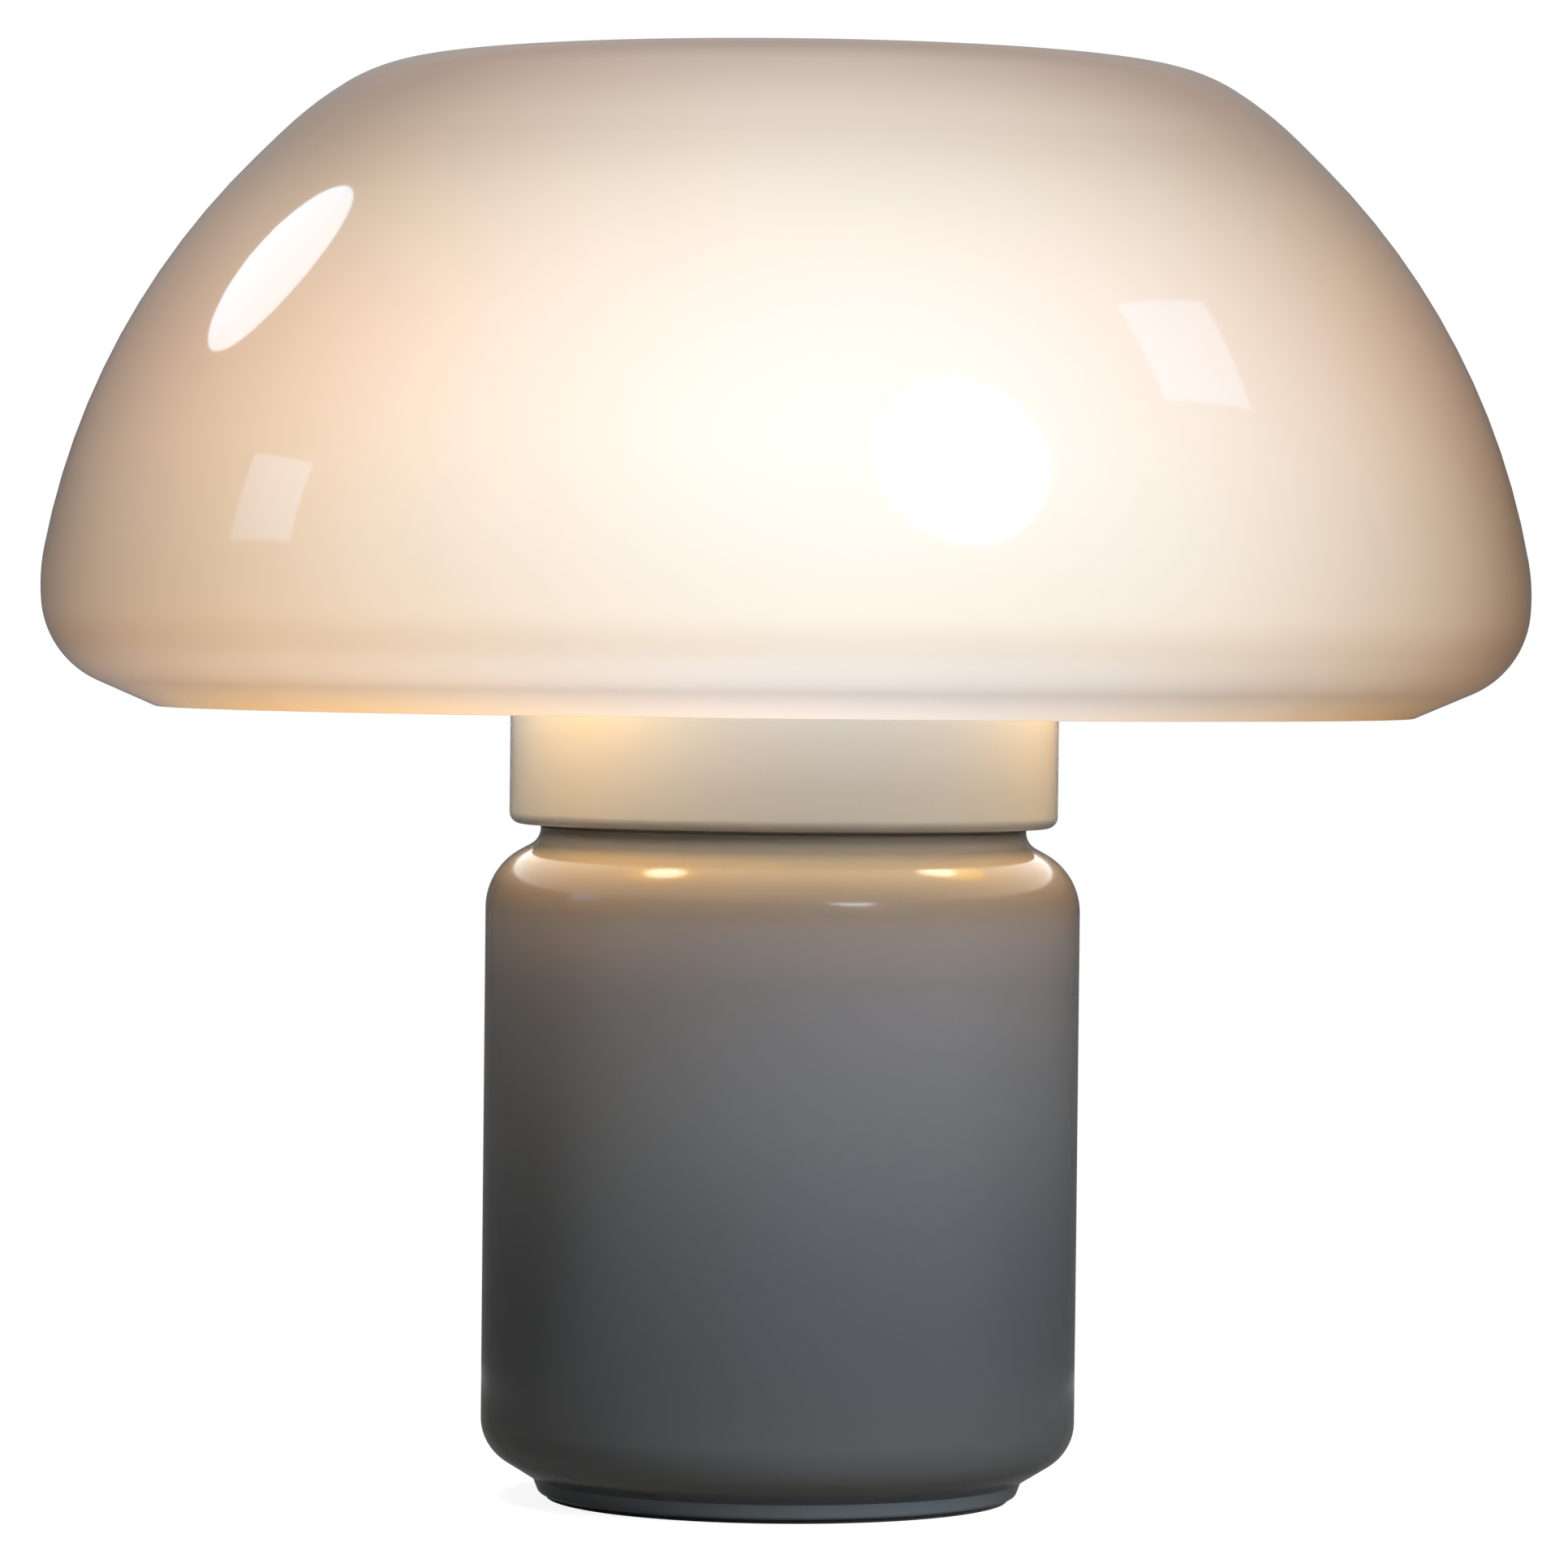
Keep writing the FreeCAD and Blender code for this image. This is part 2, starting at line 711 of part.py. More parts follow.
def make_collar_bushing():
    body = new_body("collar_bushing", angle=size.first_bulb_angle)
    low = collar_bottom - size.bushing_flange_thickness
    high = collar_floor + size.bushing_flange_thickness
    at = size.bushing_offset
    flange = size.bushing_flange_radius
    upright_cylinder(body, "bushing_neck", size.bushing_neck_radius, low, high, x=at)
    upright_cylinder(body, "bushing_lower_flange", flange, low, collar_bottom, x=at)
    upright_cylinder(body, "bushing_upper_flange", flange, collar_floor, high, x=at)
    upright_cylinder(body, "bushing_bore", size.bushing_bore_radius, low, high, x=at, cut=True)


def make_lamp_plate():
    body = new_body("lamp_plate", angle=size.first_bulb_angle)
    upright_cylinder(body, "plate_disc", plate_radius, plate_bottom, plate_top)
    upright_cylinder(body, "plate_rod_hole", rod_hole, plate_bottom, plate_top, cut=True)
    rim_hole = plate_screw_hole(body, "plate_rim_hole", plate_bottom, plate_top)
    foot_holes = bracket_holes(body, "plate", plate_bottom, plate_top)
    every_third(body, [rim_hole, *foot_holes])


def bracket_holes(body, name, low, high):
    """The hole for a bulb's wire and the one for its bracket's screw, on the bulb's own line."""
    wire = upright_cylinder(
        body, f"{name}_wire_hole", size.wire_hole_radius, low, high, x=size.wire_hole_reach, cut=True)
    screw = upright_cylinder(
        body, f"{name}_screw_hole", size.screw_radius + size.hole_clearance, low, high,
        x=size.bracket_screw_reach, cut=True)
    return wire, screw


def pan_head_screw(body, name, seat, radius, head_radius, length, x, y=ZERO):
    """A screw pointing down, whose head stands on the height `seat`."""
    shank = upright_cylinder(body, f"{name}_shank", radius, seat - length, seat, x=x, y=y)
    head_top = seat + size.screw_head_height
    head = upright_cylinder(body, f"{name}_head", head_radius, seat, head_top, x=x, y=y)
    return [shank, head]


def make_plate_screws():
    body = new_body("plate_screws", angle=size.first_bulb_angle)
    x, y = plate_screw_place()
    head_radius = size.plate_screw_inset - size.plate_rim_gap
    features = pan_head_screw(
        body, "plate_screw", plate_top, size.plate_screw_radius, head_radius,
        size.plate_screw_length, x, y)
    every_third(body, features)


def make_earth_screw():
    """A short screw into the collar's floor, for the earth wire's tag."""
    body = new_body("earth_screw", angle=size.first_bulb_angle)
    pan_head_screw(
        body, "earth_screw", collar_floor, size.screw_radius, size.screw_head_radius,
        size.collar_wall, ZERO, size.earth_screw_reach)


def make_terminal_block():
    """Three poles across a moulded block, each with a well for its clamping screw."""
    body = new_body("terminal_block", angle=block_angle)
    half_width = size.block_width / 2
    half_length = size.block_length / 2
    inner, outer = size.block_reach - half_width, size.block_reach + half_width
    top = collar_floor + size.block_height
    box(body, "block_housing", (inner, -half_length, collar_floor), (outer, half_length, top))
    pole_height = collar_floor + size.block_pole_height
    for index, y in enumerate(pole_places()):
        level_cylinder(
            body, f"pole_{index}", size.block_pole_radius, inner, outer, y=y, z=pole_height, cut=True)
        upright_cylinder(
            body, f"well_{index}", size.block_screw_radius + size.hole_clearance, pole_height, top,
            x=size.block_reach, y=y, cut=True)


def pole_places():
    return [-size.block_pole_pitch, ZERO, size.block_pole_pitch]


def make_terminal_screws():
    body = new_body("terminal_screws", angle=block_angle)
    low = collar_floor + size.block_pole_height + size.block_pole_radius
    for index, y in enumerate(pole_places()):
        upright_cylinder(
            body, f"terminal_screw_{index}", size.block_screw_radius, low, low + size.block_screw_length,
            x=size.block_reach, y=y)


# ---------------------------------------------------------------------------------------------
# Bulb holders and bulbs; each is drawn along +X and turned to its bulb's angle
# ---------------------------------------------------------------------------------------------

def make_holder_bracket(number, angle):
    """An angle bracket: its foot on the collar's plate, its upright behind the holder."""
    body = new_body(f"holder_bracket_{number}", angle=angle)
    half = size.bracket_width / 2
    upright_top = bulb_height + size.rod_radius + size.bracket_head_margin
    foot_end = bracket_face + size.bracket_foot_length
    box(body, f"upright_{number}", (bracket_face, -half, plate_top), (size.holder_start, half, upright_top))
    box(body, f"foot_{number}", (bracket_face, -half, plate_top), (foot_end, half, bracket_top))
    bracket_holes(body, f"foot_{number}", plate_top, bracket_top)
    level_cylinder(
        body, f"nipple_hole_{number}", rod_hole, bracket_face, size.holder_start,
        z=bulb_height, cut=True)


def make_bracket_screws():
    body = new_body("bracket_screws", angle=size.first_bulb_angle)
    features = pan_head_screw(
        body, "bracket_screw", bracket_top, size.screw_radius, size.screw_head_radius,
        size.screw_length, size.bracket_screw_reach)
    every_third(body, features)


def make_bracket_nuts():
    body = new_body("bracket_nuts", angle=size.first_bulb_angle)
    low = plate_bottom - size.small_nut_thickness
    nut = hexagon(
        body, "bracket_nut", size.small_nut_corner_radius, low, plate_bottom,
        at_x=size.bracket_screw_reach)
    thread = upright_cylinder(
        body, "bracket_nut_thread", size.screw_radius + size.hole_clearance, low, plate_bottom,
        x=size.bracket_screw_reach, cut=True)
    every_third(body, [nut, thread])


def make_holder_nipples():
    """Short threaded tubes that join each holder to its bracket."""
    body = new_body("holder_nipples", bulb_height, size.first_bulb_angle)
    end = size.holder_start + size.nipple_seat
    tube = level_cylinder(body, "nipple", size.rod_radius, size.nipple_start, end)
    bore = level_cylinder(body, "nipple_bore", size.rod_bore_radius, size.nipple_start, end, cut=True)
    every_third(body, [tube, bore])


def make_holder_nuts():
    body = new_body("holder_nuts", bulb_height, size.first_bulb_angle)
    start = bracket_face - size.nut_thickness
    nut = hexagon(body, "holder_nut", size.nut_corner_radius, start, bracket_face, plane="YZ_Plane")
    thread = level_cylinder(body, "holder_nut_thread", rod_hole, start, bracket_face, cut=True)
    every_third(body, [nut, thread])


def make_lampholder(number, angle):
    """A moulded cup with a floor; the threaded sleeve lines its bore."""
    body = new_body(f"lampholder_{number}", bulb_height, angle)
    bore = sleeve_outside() + size.hole_clearance
    sketch = outline_sketch(body)
    rounded_outline(sketch, [
        (size.holder_start, rod_hole),
        (size.holder_start, size.holder_radius, size.holder_rounding),
        (size.holder_end, size.holder_radius, size.holder_rounding),
        (size.holder_end, bore),
        (size.holder_floor, bore),
        (size.holder_floor, ZERO),
        (size.holder_start + size.nipple_seat, ZERO),
        (size.holder_start + size.nipple_seat, rod_hole),
    ])
    turn_outline(body, sketch, "H_Axis")
    upright_cylinder(
        body, f"wire_entry_{number}", size.wire_radius + size.hole_clearance, -size.holder_radius,
        size.wire_seat - size.holder_radius, x=size.wire_hole_reach, cut=True)


def sleeve_outside():
    return size.cap_radius + size.thread_clearance + size.sleeve_wall


def make_holder_sleeve(number, angle):
    body = new_body(f"holder_sleeve_{number}", bulb_height, angle)
    inside = size.cap_radius + size.thread_clearance
    level_cylinder(body, f"sleeve_{number}", sleeve_outside(), size.sleeve_start, size.sleeve_end)
    level_cylinder(
        body, f"sleeve_bore_{number}", inside, size.sleeve_start, size.sleeve_end, cut=True)


def make_holder_contact(number, angle):
    """The springy centre contact on the holder's floor, just short of the bulb's tip."""
    body = new_body(f"holder_contact_{number}", bulb_height, angle)
    end = tip_start() - size.seat_gap
    level_cylinder(body, f"contact_{number}", size.holder_contact_radius, size.holder_floor, end)


def tip_start():
    return size.cap_start - size.cap_insulator_length - size.cap_tip_length


def make_bulb_contact(number, angle):
    body = new_body(f"bulb_contact_{number}", bulb_height, angle)
    insulator = size.cap_start - size.cap_insulator_length
    level_cylinder(body, f"tip_{number}", size.cap_tip_radius, tip_start(), insulator)
    level_cylinder(body, f"insulator_{number}", size.cap_insulator_radius, insulator, size.cap_start)


def make_bulb_cap(number, angle):
    body = new_body(f"bulb_cap_{number}", bulb_height, angle)
    inside = size.cap_radius - size.cap_wall
    level_cylinder(body, f"cap_{number}", size.cap_radius, size.cap_start, size.cap_end)
    level_cylinder(
        body, f"cap_inside_{number}", inside, size.cap_start + size.cap_wall, size.cap_end, cut=True)


def make_bulb_glass(number, angle):
    """A blown envelope: a straight neck that flares into a ball, closed at the tip."""
    body = new_body(f"bulb_glass_{number}", bulb_height, angle)
    sketch = outline_sketch(body)
    ball_centre = size.bulb_tip_reach - size.bulb_radius
    outer = bulb_outline(sketch, ball_centre, ZERO)
    inner = bulb_outline(sketch, ball_centre, size.bulb_glass_wall)
    tip_line = sketch.addGeometry(Part.LineSegment(inner["end"], outer["end"]))
    neck_line = sketch.addGeometry(Part.LineSegment(inner["start"], outer["start"]))
    for line, key, point in ((tip_line, "ball", START), (neck_line, "neck", START)):
        sketch.addConstraint(Sketcher.Constraint("Coincident", line, START, inner[key], point))
        sketch.addConstraint(Sketcher.Constraint("Coincident", line, END, outer[key], point))
    turn_outline(body, sketch, "H_Axis")


def bulb_outline(sketch, ball_centre, inset):
    """One surface of the glass, from the open end of the neck to the tip."""
    neck_radius = size.bulb_neck_radius - inset
    flare = size.bulb_neck_rounding + inset
    ball = size.bulb_radius - inset
    rise = neck_radius.number + flare.number
    reach = math.sqrt((ball.number + flare.number) ** 2 - rise ** 2)
    turn = math.degrees(math.atan2(reach, rise))
    start = Vector(size.bulb_neck_start.number, neck_radius.number, 0)
    neck_length = Size(ball_centre.number - reach - start.x)
    run = SmoothRun(sketch, start, 0)
    neck = run.line(neck_length, bound=False)
    run.arc(flare, Size(turn), turn_bound=False)
    ball_arc = run.arc(ball, Size(-(90 + turn)), turn_bound=False)
    sketch.addConstraint(Sketcher.Constraint("Horizontal", neck))
    place_point(sketch, neck, START, size.bulb_neck_start, neck_radius)
    place_point(sketch, ball_arc, CENTRE, ball_centre, ZERO)
    sketch.addConstraint(Sketcher.Constraint("PointOnObject", ball_arc, START, -1))
    return {"neck": neck, "ball": ball_arc, "start": start, "end": run.point}


# ---------------------------------------------------------------------------------------------
# Wires from the terminal block to the holders
# ---------------------------------------------------------------------------------------------

def wire_route(points):
    """Straight runs joined by arcs that touch both; the bends are as wide as the runs allow."""
    edges = []
    start = points[0]
    for before, corner, after in zip(points, points[1:], points[2:]):
        back, ahead = before - corner, after - corner
        half_turn = (math.pi - back.getAngle(ahead)) / 2
        radius = BEND_SHARE * min(back.Length, ahead.Length) / math.tan(half_turn)
        reach = radius * math.tan(half_turn)
        back, ahead = unit(back), unit(ahead)
        arrival = corner + back * reach
        departure = corner + ahead * reach
        middle = corner + unit(back + ahead) * (radius / math.cos(half_turn) - radius)
        edges.append(Part.LineSegment(start, arrival).toShape())
        edges.append(Part.Arc(arrival, middle, departure).toShape())
        start = departure
    edges.append(Part.LineSegment(start, points[-1]).toShape())
    return Part.Wire(edges)


def make_holder_wire(number, pole, waypoints):
    """A twin wire from a pole, under the collar's plate and up into a holder."""
    lead_start = size.block_reach - size.block_width / 2
    lead_height = collar_floor + size.block_pole_height
    entry = bulb_height - size.holder_radius + size.wire_seat - size.hole_clearance
    angle = math.radians((bulb_angles[number - 1] - block_angle).number)
    across = size.wire_hole_reach.number * math.cos(angle)
    aside = size.wire_hole_reach.number * math.sin(angle)
    points = [
        Vector(lead_start.number, pole.number, lead_height.number),
        Vector((lead_start - size.wire_lead).number, pole.number, lead_height.number),
        *waypoints,
        Vector(across, aside, size.wire_bend_height.number),
        Vector(across, aside, entry.number),
    ]
    route = wire_route(points)
    circle = Part.Circle(points[0], points[0] - points[1], size.wire_radius.number)
    wire = doc.addObject("Part::Feature", f"holder_wire_{number}")
    wire.Label = f"holder_wire_{number}"
    wire.Shape = route.makePipeShell([Part.Wire([circle.toShape()])], True, False)
    wire.Placement = Placement(Vector(0, 0, 0), Rotation(Vector(0, 0, 1), block_angle.number))
    section = math.pi * size.wire_radius.number ** 2
    print(f"wire {number}: volume over section times length", wire.Shape.Volume / (section * route.Length))
    nodes.append(wire)


def make_holder_wires():
    """The first bulb is across the rod from the block, so its wire passes the rod to one side."""
    rise = (size.wire_bend_height + collar_floor + size.block_pole_height) / 2
    aside = size.rod_radius + size.wire_rod_gap + size.wire_radius
    beside_rod = Vector(0, -aside.number, rise.number)
    make_holder_wire(1, ZERO, [beside_rod])
    make_holder_wire(2, -size.block_pole_pitch, [])
    make_holder_wire(3, size.block_pole_pitch, [])


# ---------------------------------------------------------------------------------------------
# Carrier of the shade, and the shade
# ---------------------------------------------------------------------------------------------

def make_carrier_hub():
    body = new_body("carrier_hub", pad_height, arm_angles[0])
    half = size.hub_thickness / 2
    upright_cylinder(body, "hub_disc", size.hub_radius, -half, half)
    upright_cylinder(body, "hub_bore", rod_hole, -half, half, cut=True)
    socket = level_cylinder(
        body, "arm_socket", size.arm_radius + size.hole_clearance, size.hub_radius - size.arm_seat,
        size.hub_radius, cut=True)
    every_third(body, [socket])


def make_carrier_arm(number, angle):
    body = new_body(f"carrier_arm_{number}", pad_height, angle)
    level_cylinder(
        body, f"arm_{number}", size.arm_radius, size.hub_radius - size.arm_seat, pad_reach + size.arm_tip)


def make_carrier_pad(number, angle):
    """A rubber ball pushed over the end of an arm; the shade's inside rests on it."""
    body = new_body(f"carrier_pad_{number}", pad_height, angle)
    primitive(
        body, "PartDesign::AdditiveSphere", f"pad_{number}", {"Radius": size.pad_radius},
        (ZERO, ZERO, pad_reach), "YZ_Plane")
    level_cylinder(
        body, f"pad_bore_{number}", size.arm_radius + size.hole_clearance, pad_reach - size.pad_radius,
        pad_reach + size.arm_tip + size.hole_clearance, cut=True)


def make_shade():
    """A moulded opal bell of even wall, drawn in at the mouth, with a fully rounded rim."""
    wall = size.shade_wall
    dome_turn = side_top_normal - size.shoulder_turn - size.crown_turn
    outer_steps = [
        (size.crown_radius, size.crown_turn),
        (size.shoulder_radius, size.shoulder_turn),
        (size.slope_length, None),
        (size.side_radius, size.side_turn),
        (size.belly_radius, size.belly_turn_above + size.belly_turn_below),
        (size.bulge_radius, size.bulge_turn),
        (size.lip_length, None),
    ]
    below_dome = Vector(0, 0, 0)
    normal = dome_turn.number
    for extent, turn in outer_steps[:4] + [(size.belly_radius, size.belly_turn_above)]:
        if turn is None:
            below_dome += direction(-normal) * extent.number
            continue
        below_dome += (direction(90 - normal - turn.number) - direction(90 - normal)) * extent.number
        normal += turn.number
    dome_radius = (size.shade_radius.number - below_dome.x) / math.sin(math.radians(dome_turn.number))
    dome_drop = dome_radius * (1 - math.cos(math.radians(dome_turn.number)))
    apex_height = size.shade_widest_height.number - below_dome.y + dome_drop

    body = new_body("shade")
    sketch = outline_sketch(body)
    run = SmoothRun(sketch, Vector(0, apex_height, 0), 0)
    outer_dome = run.arc(Size(dome_radius), -dome_turn, bound=False)
    outer = []
    for extent, turn in outer_steps:
        outer.append(run.line(extent) if turn is None else run.arc(extent, -turn))
    run.arc(wall / 2, Size(-180), turn_bound=True)
    for extent, turn in reversed(outer_steps):
        if turn is None:
            run.line(extent)
        else:
            run.arc(extent - wall, turn)
    inner_dome = run.arc(Size(dome_radius - wall.number), dome_turn, bound=False, turn_bound=False)
    axis_line = sketch.addGeometry(Part.LineSegment(run.point, Vector(0, apex_height, 0)))
    for dome, apex in ((outer_dome, END), (inner_dome, END)):
        sketch.addConstraint(Sketcher.Constraint("PointOnObject", dome, CENTRE, HEIGHT_AXIS))
        sketch.addConstraint(Sketcher.Constraint("PointOnObject", dome, apex, HEIGHT_AXIS))
    sketch.addConstraint(Sketcher.Constraint("Coincident", axis_line, START, inner_dome, END))
    sketch.addConstraint(Sketcher.Constraint("Coincident", axis_line, END, outer_dome, END))
    place_point(sketch, outer[4], CENTRE, *belly_centre)
    turn_outline(body, sketch)


# ---------------------------------------------------------------------------------------------
# The whole lamp
# ---------------------------------------------------------------------------------------------

make_felt_pad()
make_foot_plate()
make_foot_screws()
make_ballast()
make_base_shell()
make_cable_grommet()
make_threaded_rod()
make_rod_nuts()
make_rod_washers()
make_collar()
make_collar_bushing()
make_lamp_plate()
make_plate_screws()
make_earth_screw()
make_terminal_block()
make_terminal_screws()
make_bracket_screws()
make_bracket_nuts()
make_holder_nipples()
make_holder_nuts()
for bulb_number, bulb_angle in enumerate(bulb_angles, start=1):
    make_holder_bracket(bulb_number, bulb_angle)
    make_lampholder(bulb_number, bulb_angle)
    make_holder_sleeve(bulb_number, bulb_angle)
    make_holder_contact(bulb_number, bulb_angle)
    make_bulb_contact(bulb_number, bulb_angle)
    make_bulb_cap(bulb_number, bulb_angle)
    make_bulb_glass(bulb_number, bulb_angle)
make_holder_wires()
make_carrier_hub()
for arm_number, arm_angle in enumerate(arm_angles, start=1):
    make_carrier_arm(arm_number, arm_angle)
    make_carrier_pad(arm_number, arm_angle)
make_shade()
doc.recompute()

# ---------------------------------------------------------------------------------------------
# Checks and files
# ---------------------------------------------------------------------------------------------

for item in doc.Objects:
    if "Invalid" in item.State or "Error" in item.State:
        raise RuntimeError(f"{item.Name} is {item.State}")
for node in nodes:
    if node.Shape.isNull() or not node.Shape.isValid() or not node.Shape.Solids:
        raise RuntimeError(f"{node.Label} has no valid solid")
for node in nodes:
    node.Shape.exportStep(f"parts/{node.Label}.step")
    box_size = node.Shape.BoundBox
    print(f"{node.Label}: {len(node.Shape.Solids)} solid, {node.Shape.Volume:.0f} mm3, "
          f"z {box_size.ZMin:.2f} to {box_size.ZMax:.2f}, reach {box_size.XMax:.1f}")
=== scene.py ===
"""Mushroom table lamp, lit: the dressed model, its studio and its camera.

Sizes are in millimetres and angles in degrees until a mesh is made; the scene itself is in metres.
Z is up, the lamp stands on z = 0 and its front looks towards -Y.
"""

import json
import math

import bmesh
import bpy
from mathutils import Matrix, Vector


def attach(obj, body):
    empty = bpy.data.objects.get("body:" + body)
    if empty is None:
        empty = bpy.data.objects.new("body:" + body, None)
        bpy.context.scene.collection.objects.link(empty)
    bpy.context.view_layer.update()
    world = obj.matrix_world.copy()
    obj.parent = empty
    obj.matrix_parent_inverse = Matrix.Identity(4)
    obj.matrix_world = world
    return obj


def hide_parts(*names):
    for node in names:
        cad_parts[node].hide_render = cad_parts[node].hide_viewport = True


MM = 0.001
SHARP_ANGLE = math.radians(40)

# segments round a turned piece, and degrees per step along an arc of its outline
SEGMENTS = 256
BULB_SEGMENTS = 64
CAP_SEGMENTS = 32
SCREW_SEGMENTS = 32
ROD_SEGMENTS = 20
ARC_STEP = 3.0

# points along a straight run; those near its ends keep the shading of the curves off it
LINE_SHARES = (0.04, 0.5, 0.96, 1.0)
LONGEST_LEAD = 0.5
LONGEST_DOME_STEP = 6.0

# a point with a smaller radius than this, in millimetres, is on the axis
ON_AXIS = 1e-6
# points closer than the first are joined and edges shorter than the second go, both in metres
JOINED = 2e-7
SQUEEZED = 1e-7

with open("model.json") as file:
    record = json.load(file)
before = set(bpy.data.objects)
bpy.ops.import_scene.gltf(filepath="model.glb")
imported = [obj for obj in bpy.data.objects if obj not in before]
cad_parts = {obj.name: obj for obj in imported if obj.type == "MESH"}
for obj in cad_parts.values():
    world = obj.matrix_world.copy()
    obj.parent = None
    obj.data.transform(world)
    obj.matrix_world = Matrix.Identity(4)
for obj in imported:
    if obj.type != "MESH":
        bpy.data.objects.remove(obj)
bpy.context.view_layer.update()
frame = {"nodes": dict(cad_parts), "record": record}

# ---------------------------------------------------------------------------------------------
# Sizes of the lamp
# ---------------------------------------------------------------------------------------------

# the curves of the shade's outline are (radius, turn in degrees)
SHADE_RADIUS = 180.0
SHADE_WIDEST_HEIGHT = 220.2
SHADE_WALL = 3.0
CROWN = (39.6, 27.75)
SHOULDER = (89.4, 12.58)
SLOPE_LENGTH = 8.2
SIDE = (178.4, 34.81)
BELLY_RADIUS = 47.9
BELLY_ABOVE = 10.5
BELLY_BELOW = 5.1
BULGE = (22.95, 61.5)
LIP_LENGTH = 14.8

# the corners of the base's outline are (height, rounding)
SHELL_RADIUS = 72.1
SHELL_WALL = 1.5
SHELL_BOTTOM = 4.8
SHELL_OPENING = 50.5
LOWER_CORNER = (12.6, 11.6)
UPPER_CORNER = (152.3, 16.0)
NECK_RADIUS = 58.9
NECK_CORNER = (159.65, 4.4)
NECK_TOP = 163.3
NECK_EDGE = 0.7
NECK_OPENING = 25.0

FELT_TOP = 1.0
FOOT_TOP_RADIUS = 59.4
FOOT_BOTTOM_RADIUS = 57.9
FOOT_ROUNDING = 1.6
FOOT_BORE = 10.5

COLLAR_RADIUS = 66.5
COLLAR_WALL = 1.5
COLLAR_TOP = 205.0
COLLAR_BOTTOM_ROUNDING = 2.8
COLLAR_TOP_ROUNDING = 1.6
COLLAR_FLANGE_EDGE = 58.5
ROD_HOLE = 5.1

BULB_ANGLES = (-137.0, -17.0, 103.0)
BULB_HEIGHT = 225.0
BULB_RADIUS = 22.5
BULB_CENTRE_REACH = 92.5
BULB_NECK_RADIUS = 6.2
BULB_FLARE = 12.0
BULB_NECK_START = 54.0
BULB_WALL = 0.8

CAP_RADIUS = 6.85
CAP_WALL = 0.5
CAP_START = 42.0
CAP_THREAD_END = 53.6
CAP_END = 62.4
CAP_PITCH = 2.8
CAP_THREAD_DEPTH = 0.6
CAP_THREAD_STEPS = 8
CAP_HOLE = 0.4
# how far the cap's first edge draws in, and the heights of its slopes outside and inside
CAP_EDGE = 0.5
CAP_SLOPE = 0.6
CAP_INNER_SLOPE = 0.4

ROD_RADIUS = 5.0
ROD_BORE = 3.5
ROD_BOTTOM = 3.6
ROD_TOP = 340.3
ROD_PITCH = 1.5
ROD_THREAD_DEPTH = 0.6
# where the thread's crest starts and ends and where its far flank ends, as shares of the pitch
ROD_CREST = (0.38, 0.50)
ROD_CREST_FOOT = 0.88

SLOT_WIDTH = 0.9
SLOT_DEPTH = 1.2
SLOT_TURN = 25.0
SCREW_HEAD_HEIGHT = 2.3
# height over the slot's floor, and how far the head has drawn in there
SCREW_DOME = ((0.0, 0.0), (0.55, 0.1), (0.95, 0.5), (SLOT_DEPTH, 1.3))
HALF_HEAD_STEPS = 16
# radius of the small hole that is left on the axis, and the chamfer of the point
SCREW_AXIS = 0.05
SCREW_POINT = (0.3, 0.5)
PLATE_TOP = 206.5
PLATE_SCREW_REACH = 61.5
PLATE_SCREW_TURN = 60.0
# radius of the shank, radius of the head, length of the shank
PLATE_SCREW = (1.6, 3.5, 8.0)
BRACKET_TOP = 208.0
BRACKET_SCREW_REACH = 34.0
BRACKET_SCREW = (2.0, 3.6, 9.0)

# ---------------------------------------------------------------------------------------------
# Outlines: lists of (radius, height), finely divided
# ---------------------------------------------------------------------------------------------


def direction(heading):
    """A step of length 1 at a heading in degrees, from the radius axis towards the height."""
    return Vector((math.cos(math.radians(heading)), math.sin(math.radians(heading))))


class Outline:
    """A run of lines and arcs, each leaving in the direction in which the last one arrived."""

    def __init__(self, radius, height, heading):
        self.point = Vector((radius, height))
        self.heading = heading
        self.points = [self.point.copy()]

    def line(self, length):
        """A straight run."""
        start = self.point.copy()
        step = direction(self.heading)
        for share in LINE_SHARES:
            self.points.append(start + step * length * share)
        self.point = start + step * length
        return self

    def arc(self, radius, turn):
        """A curve; a positive turn bends to the left."""
        side = 1 if turn > 0 else -1
        centre = self.point + direction(self.heading + 90 * side) * radius
        count = max(2, math.ceil(abs(turn) / ARC_STEP))
        for index in range(1, count + 1):
            heading = self.heading + turn * index / count
            self.points.append(centre - direction(heading + 90 * side) * radius)
        self.heading += turn
        self.point = self.points[-1].copy()
        return self


def rounded(corners):
    """A closed outline of straight lines; a corner is (radius, height) or has a rounding too."""
    points = [Vector(corner[:2]) for corner in corners]
    outline = []
    for index, point in enumerate(points):
        if len(corners[index]) == 2:
            outline.append(point)
            continue
        rounding = corners[index][2]
        back = (points[index - 1] - point).normalized()
        ahead = (points[(index + 1) % len(points)] - point).normalized()
        half_turn = (math.pi - back.angle(ahead)) / 2
        reach = rounding * math.tan(half_turn)
        centre = point + (back + ahead).normalized() * (rounding / math.cos(half_turn))
        first = point + back * reach - centre
        turn = 2 * half_turn
        if back.x * ahead.y - back.y * ahead.x > 0:
            turn = -turn
        count = max(3, math.ceil(math.degrees(abs(turn)) / ARC_STEP))
        lead = min(LONGEST_LEAD, rounding / 4)
        outline.append(point + back * (reach + lead))
        for step in range(count + 1):
            angle = turn * step / count
            turned = Vector((
                first.x * math.cos(angle) - first.y * math.sin(angle),
                first.x * math.sin(angle) + first.y * math.cos(angle)))
            outline.append(centre + turned)
        outline.append(point + ahead * (reach + lead))
    return outline


# ---------------------------------------------------------------------------------------------
# Meshes
# ---------------------------------------------------------------------------------------------


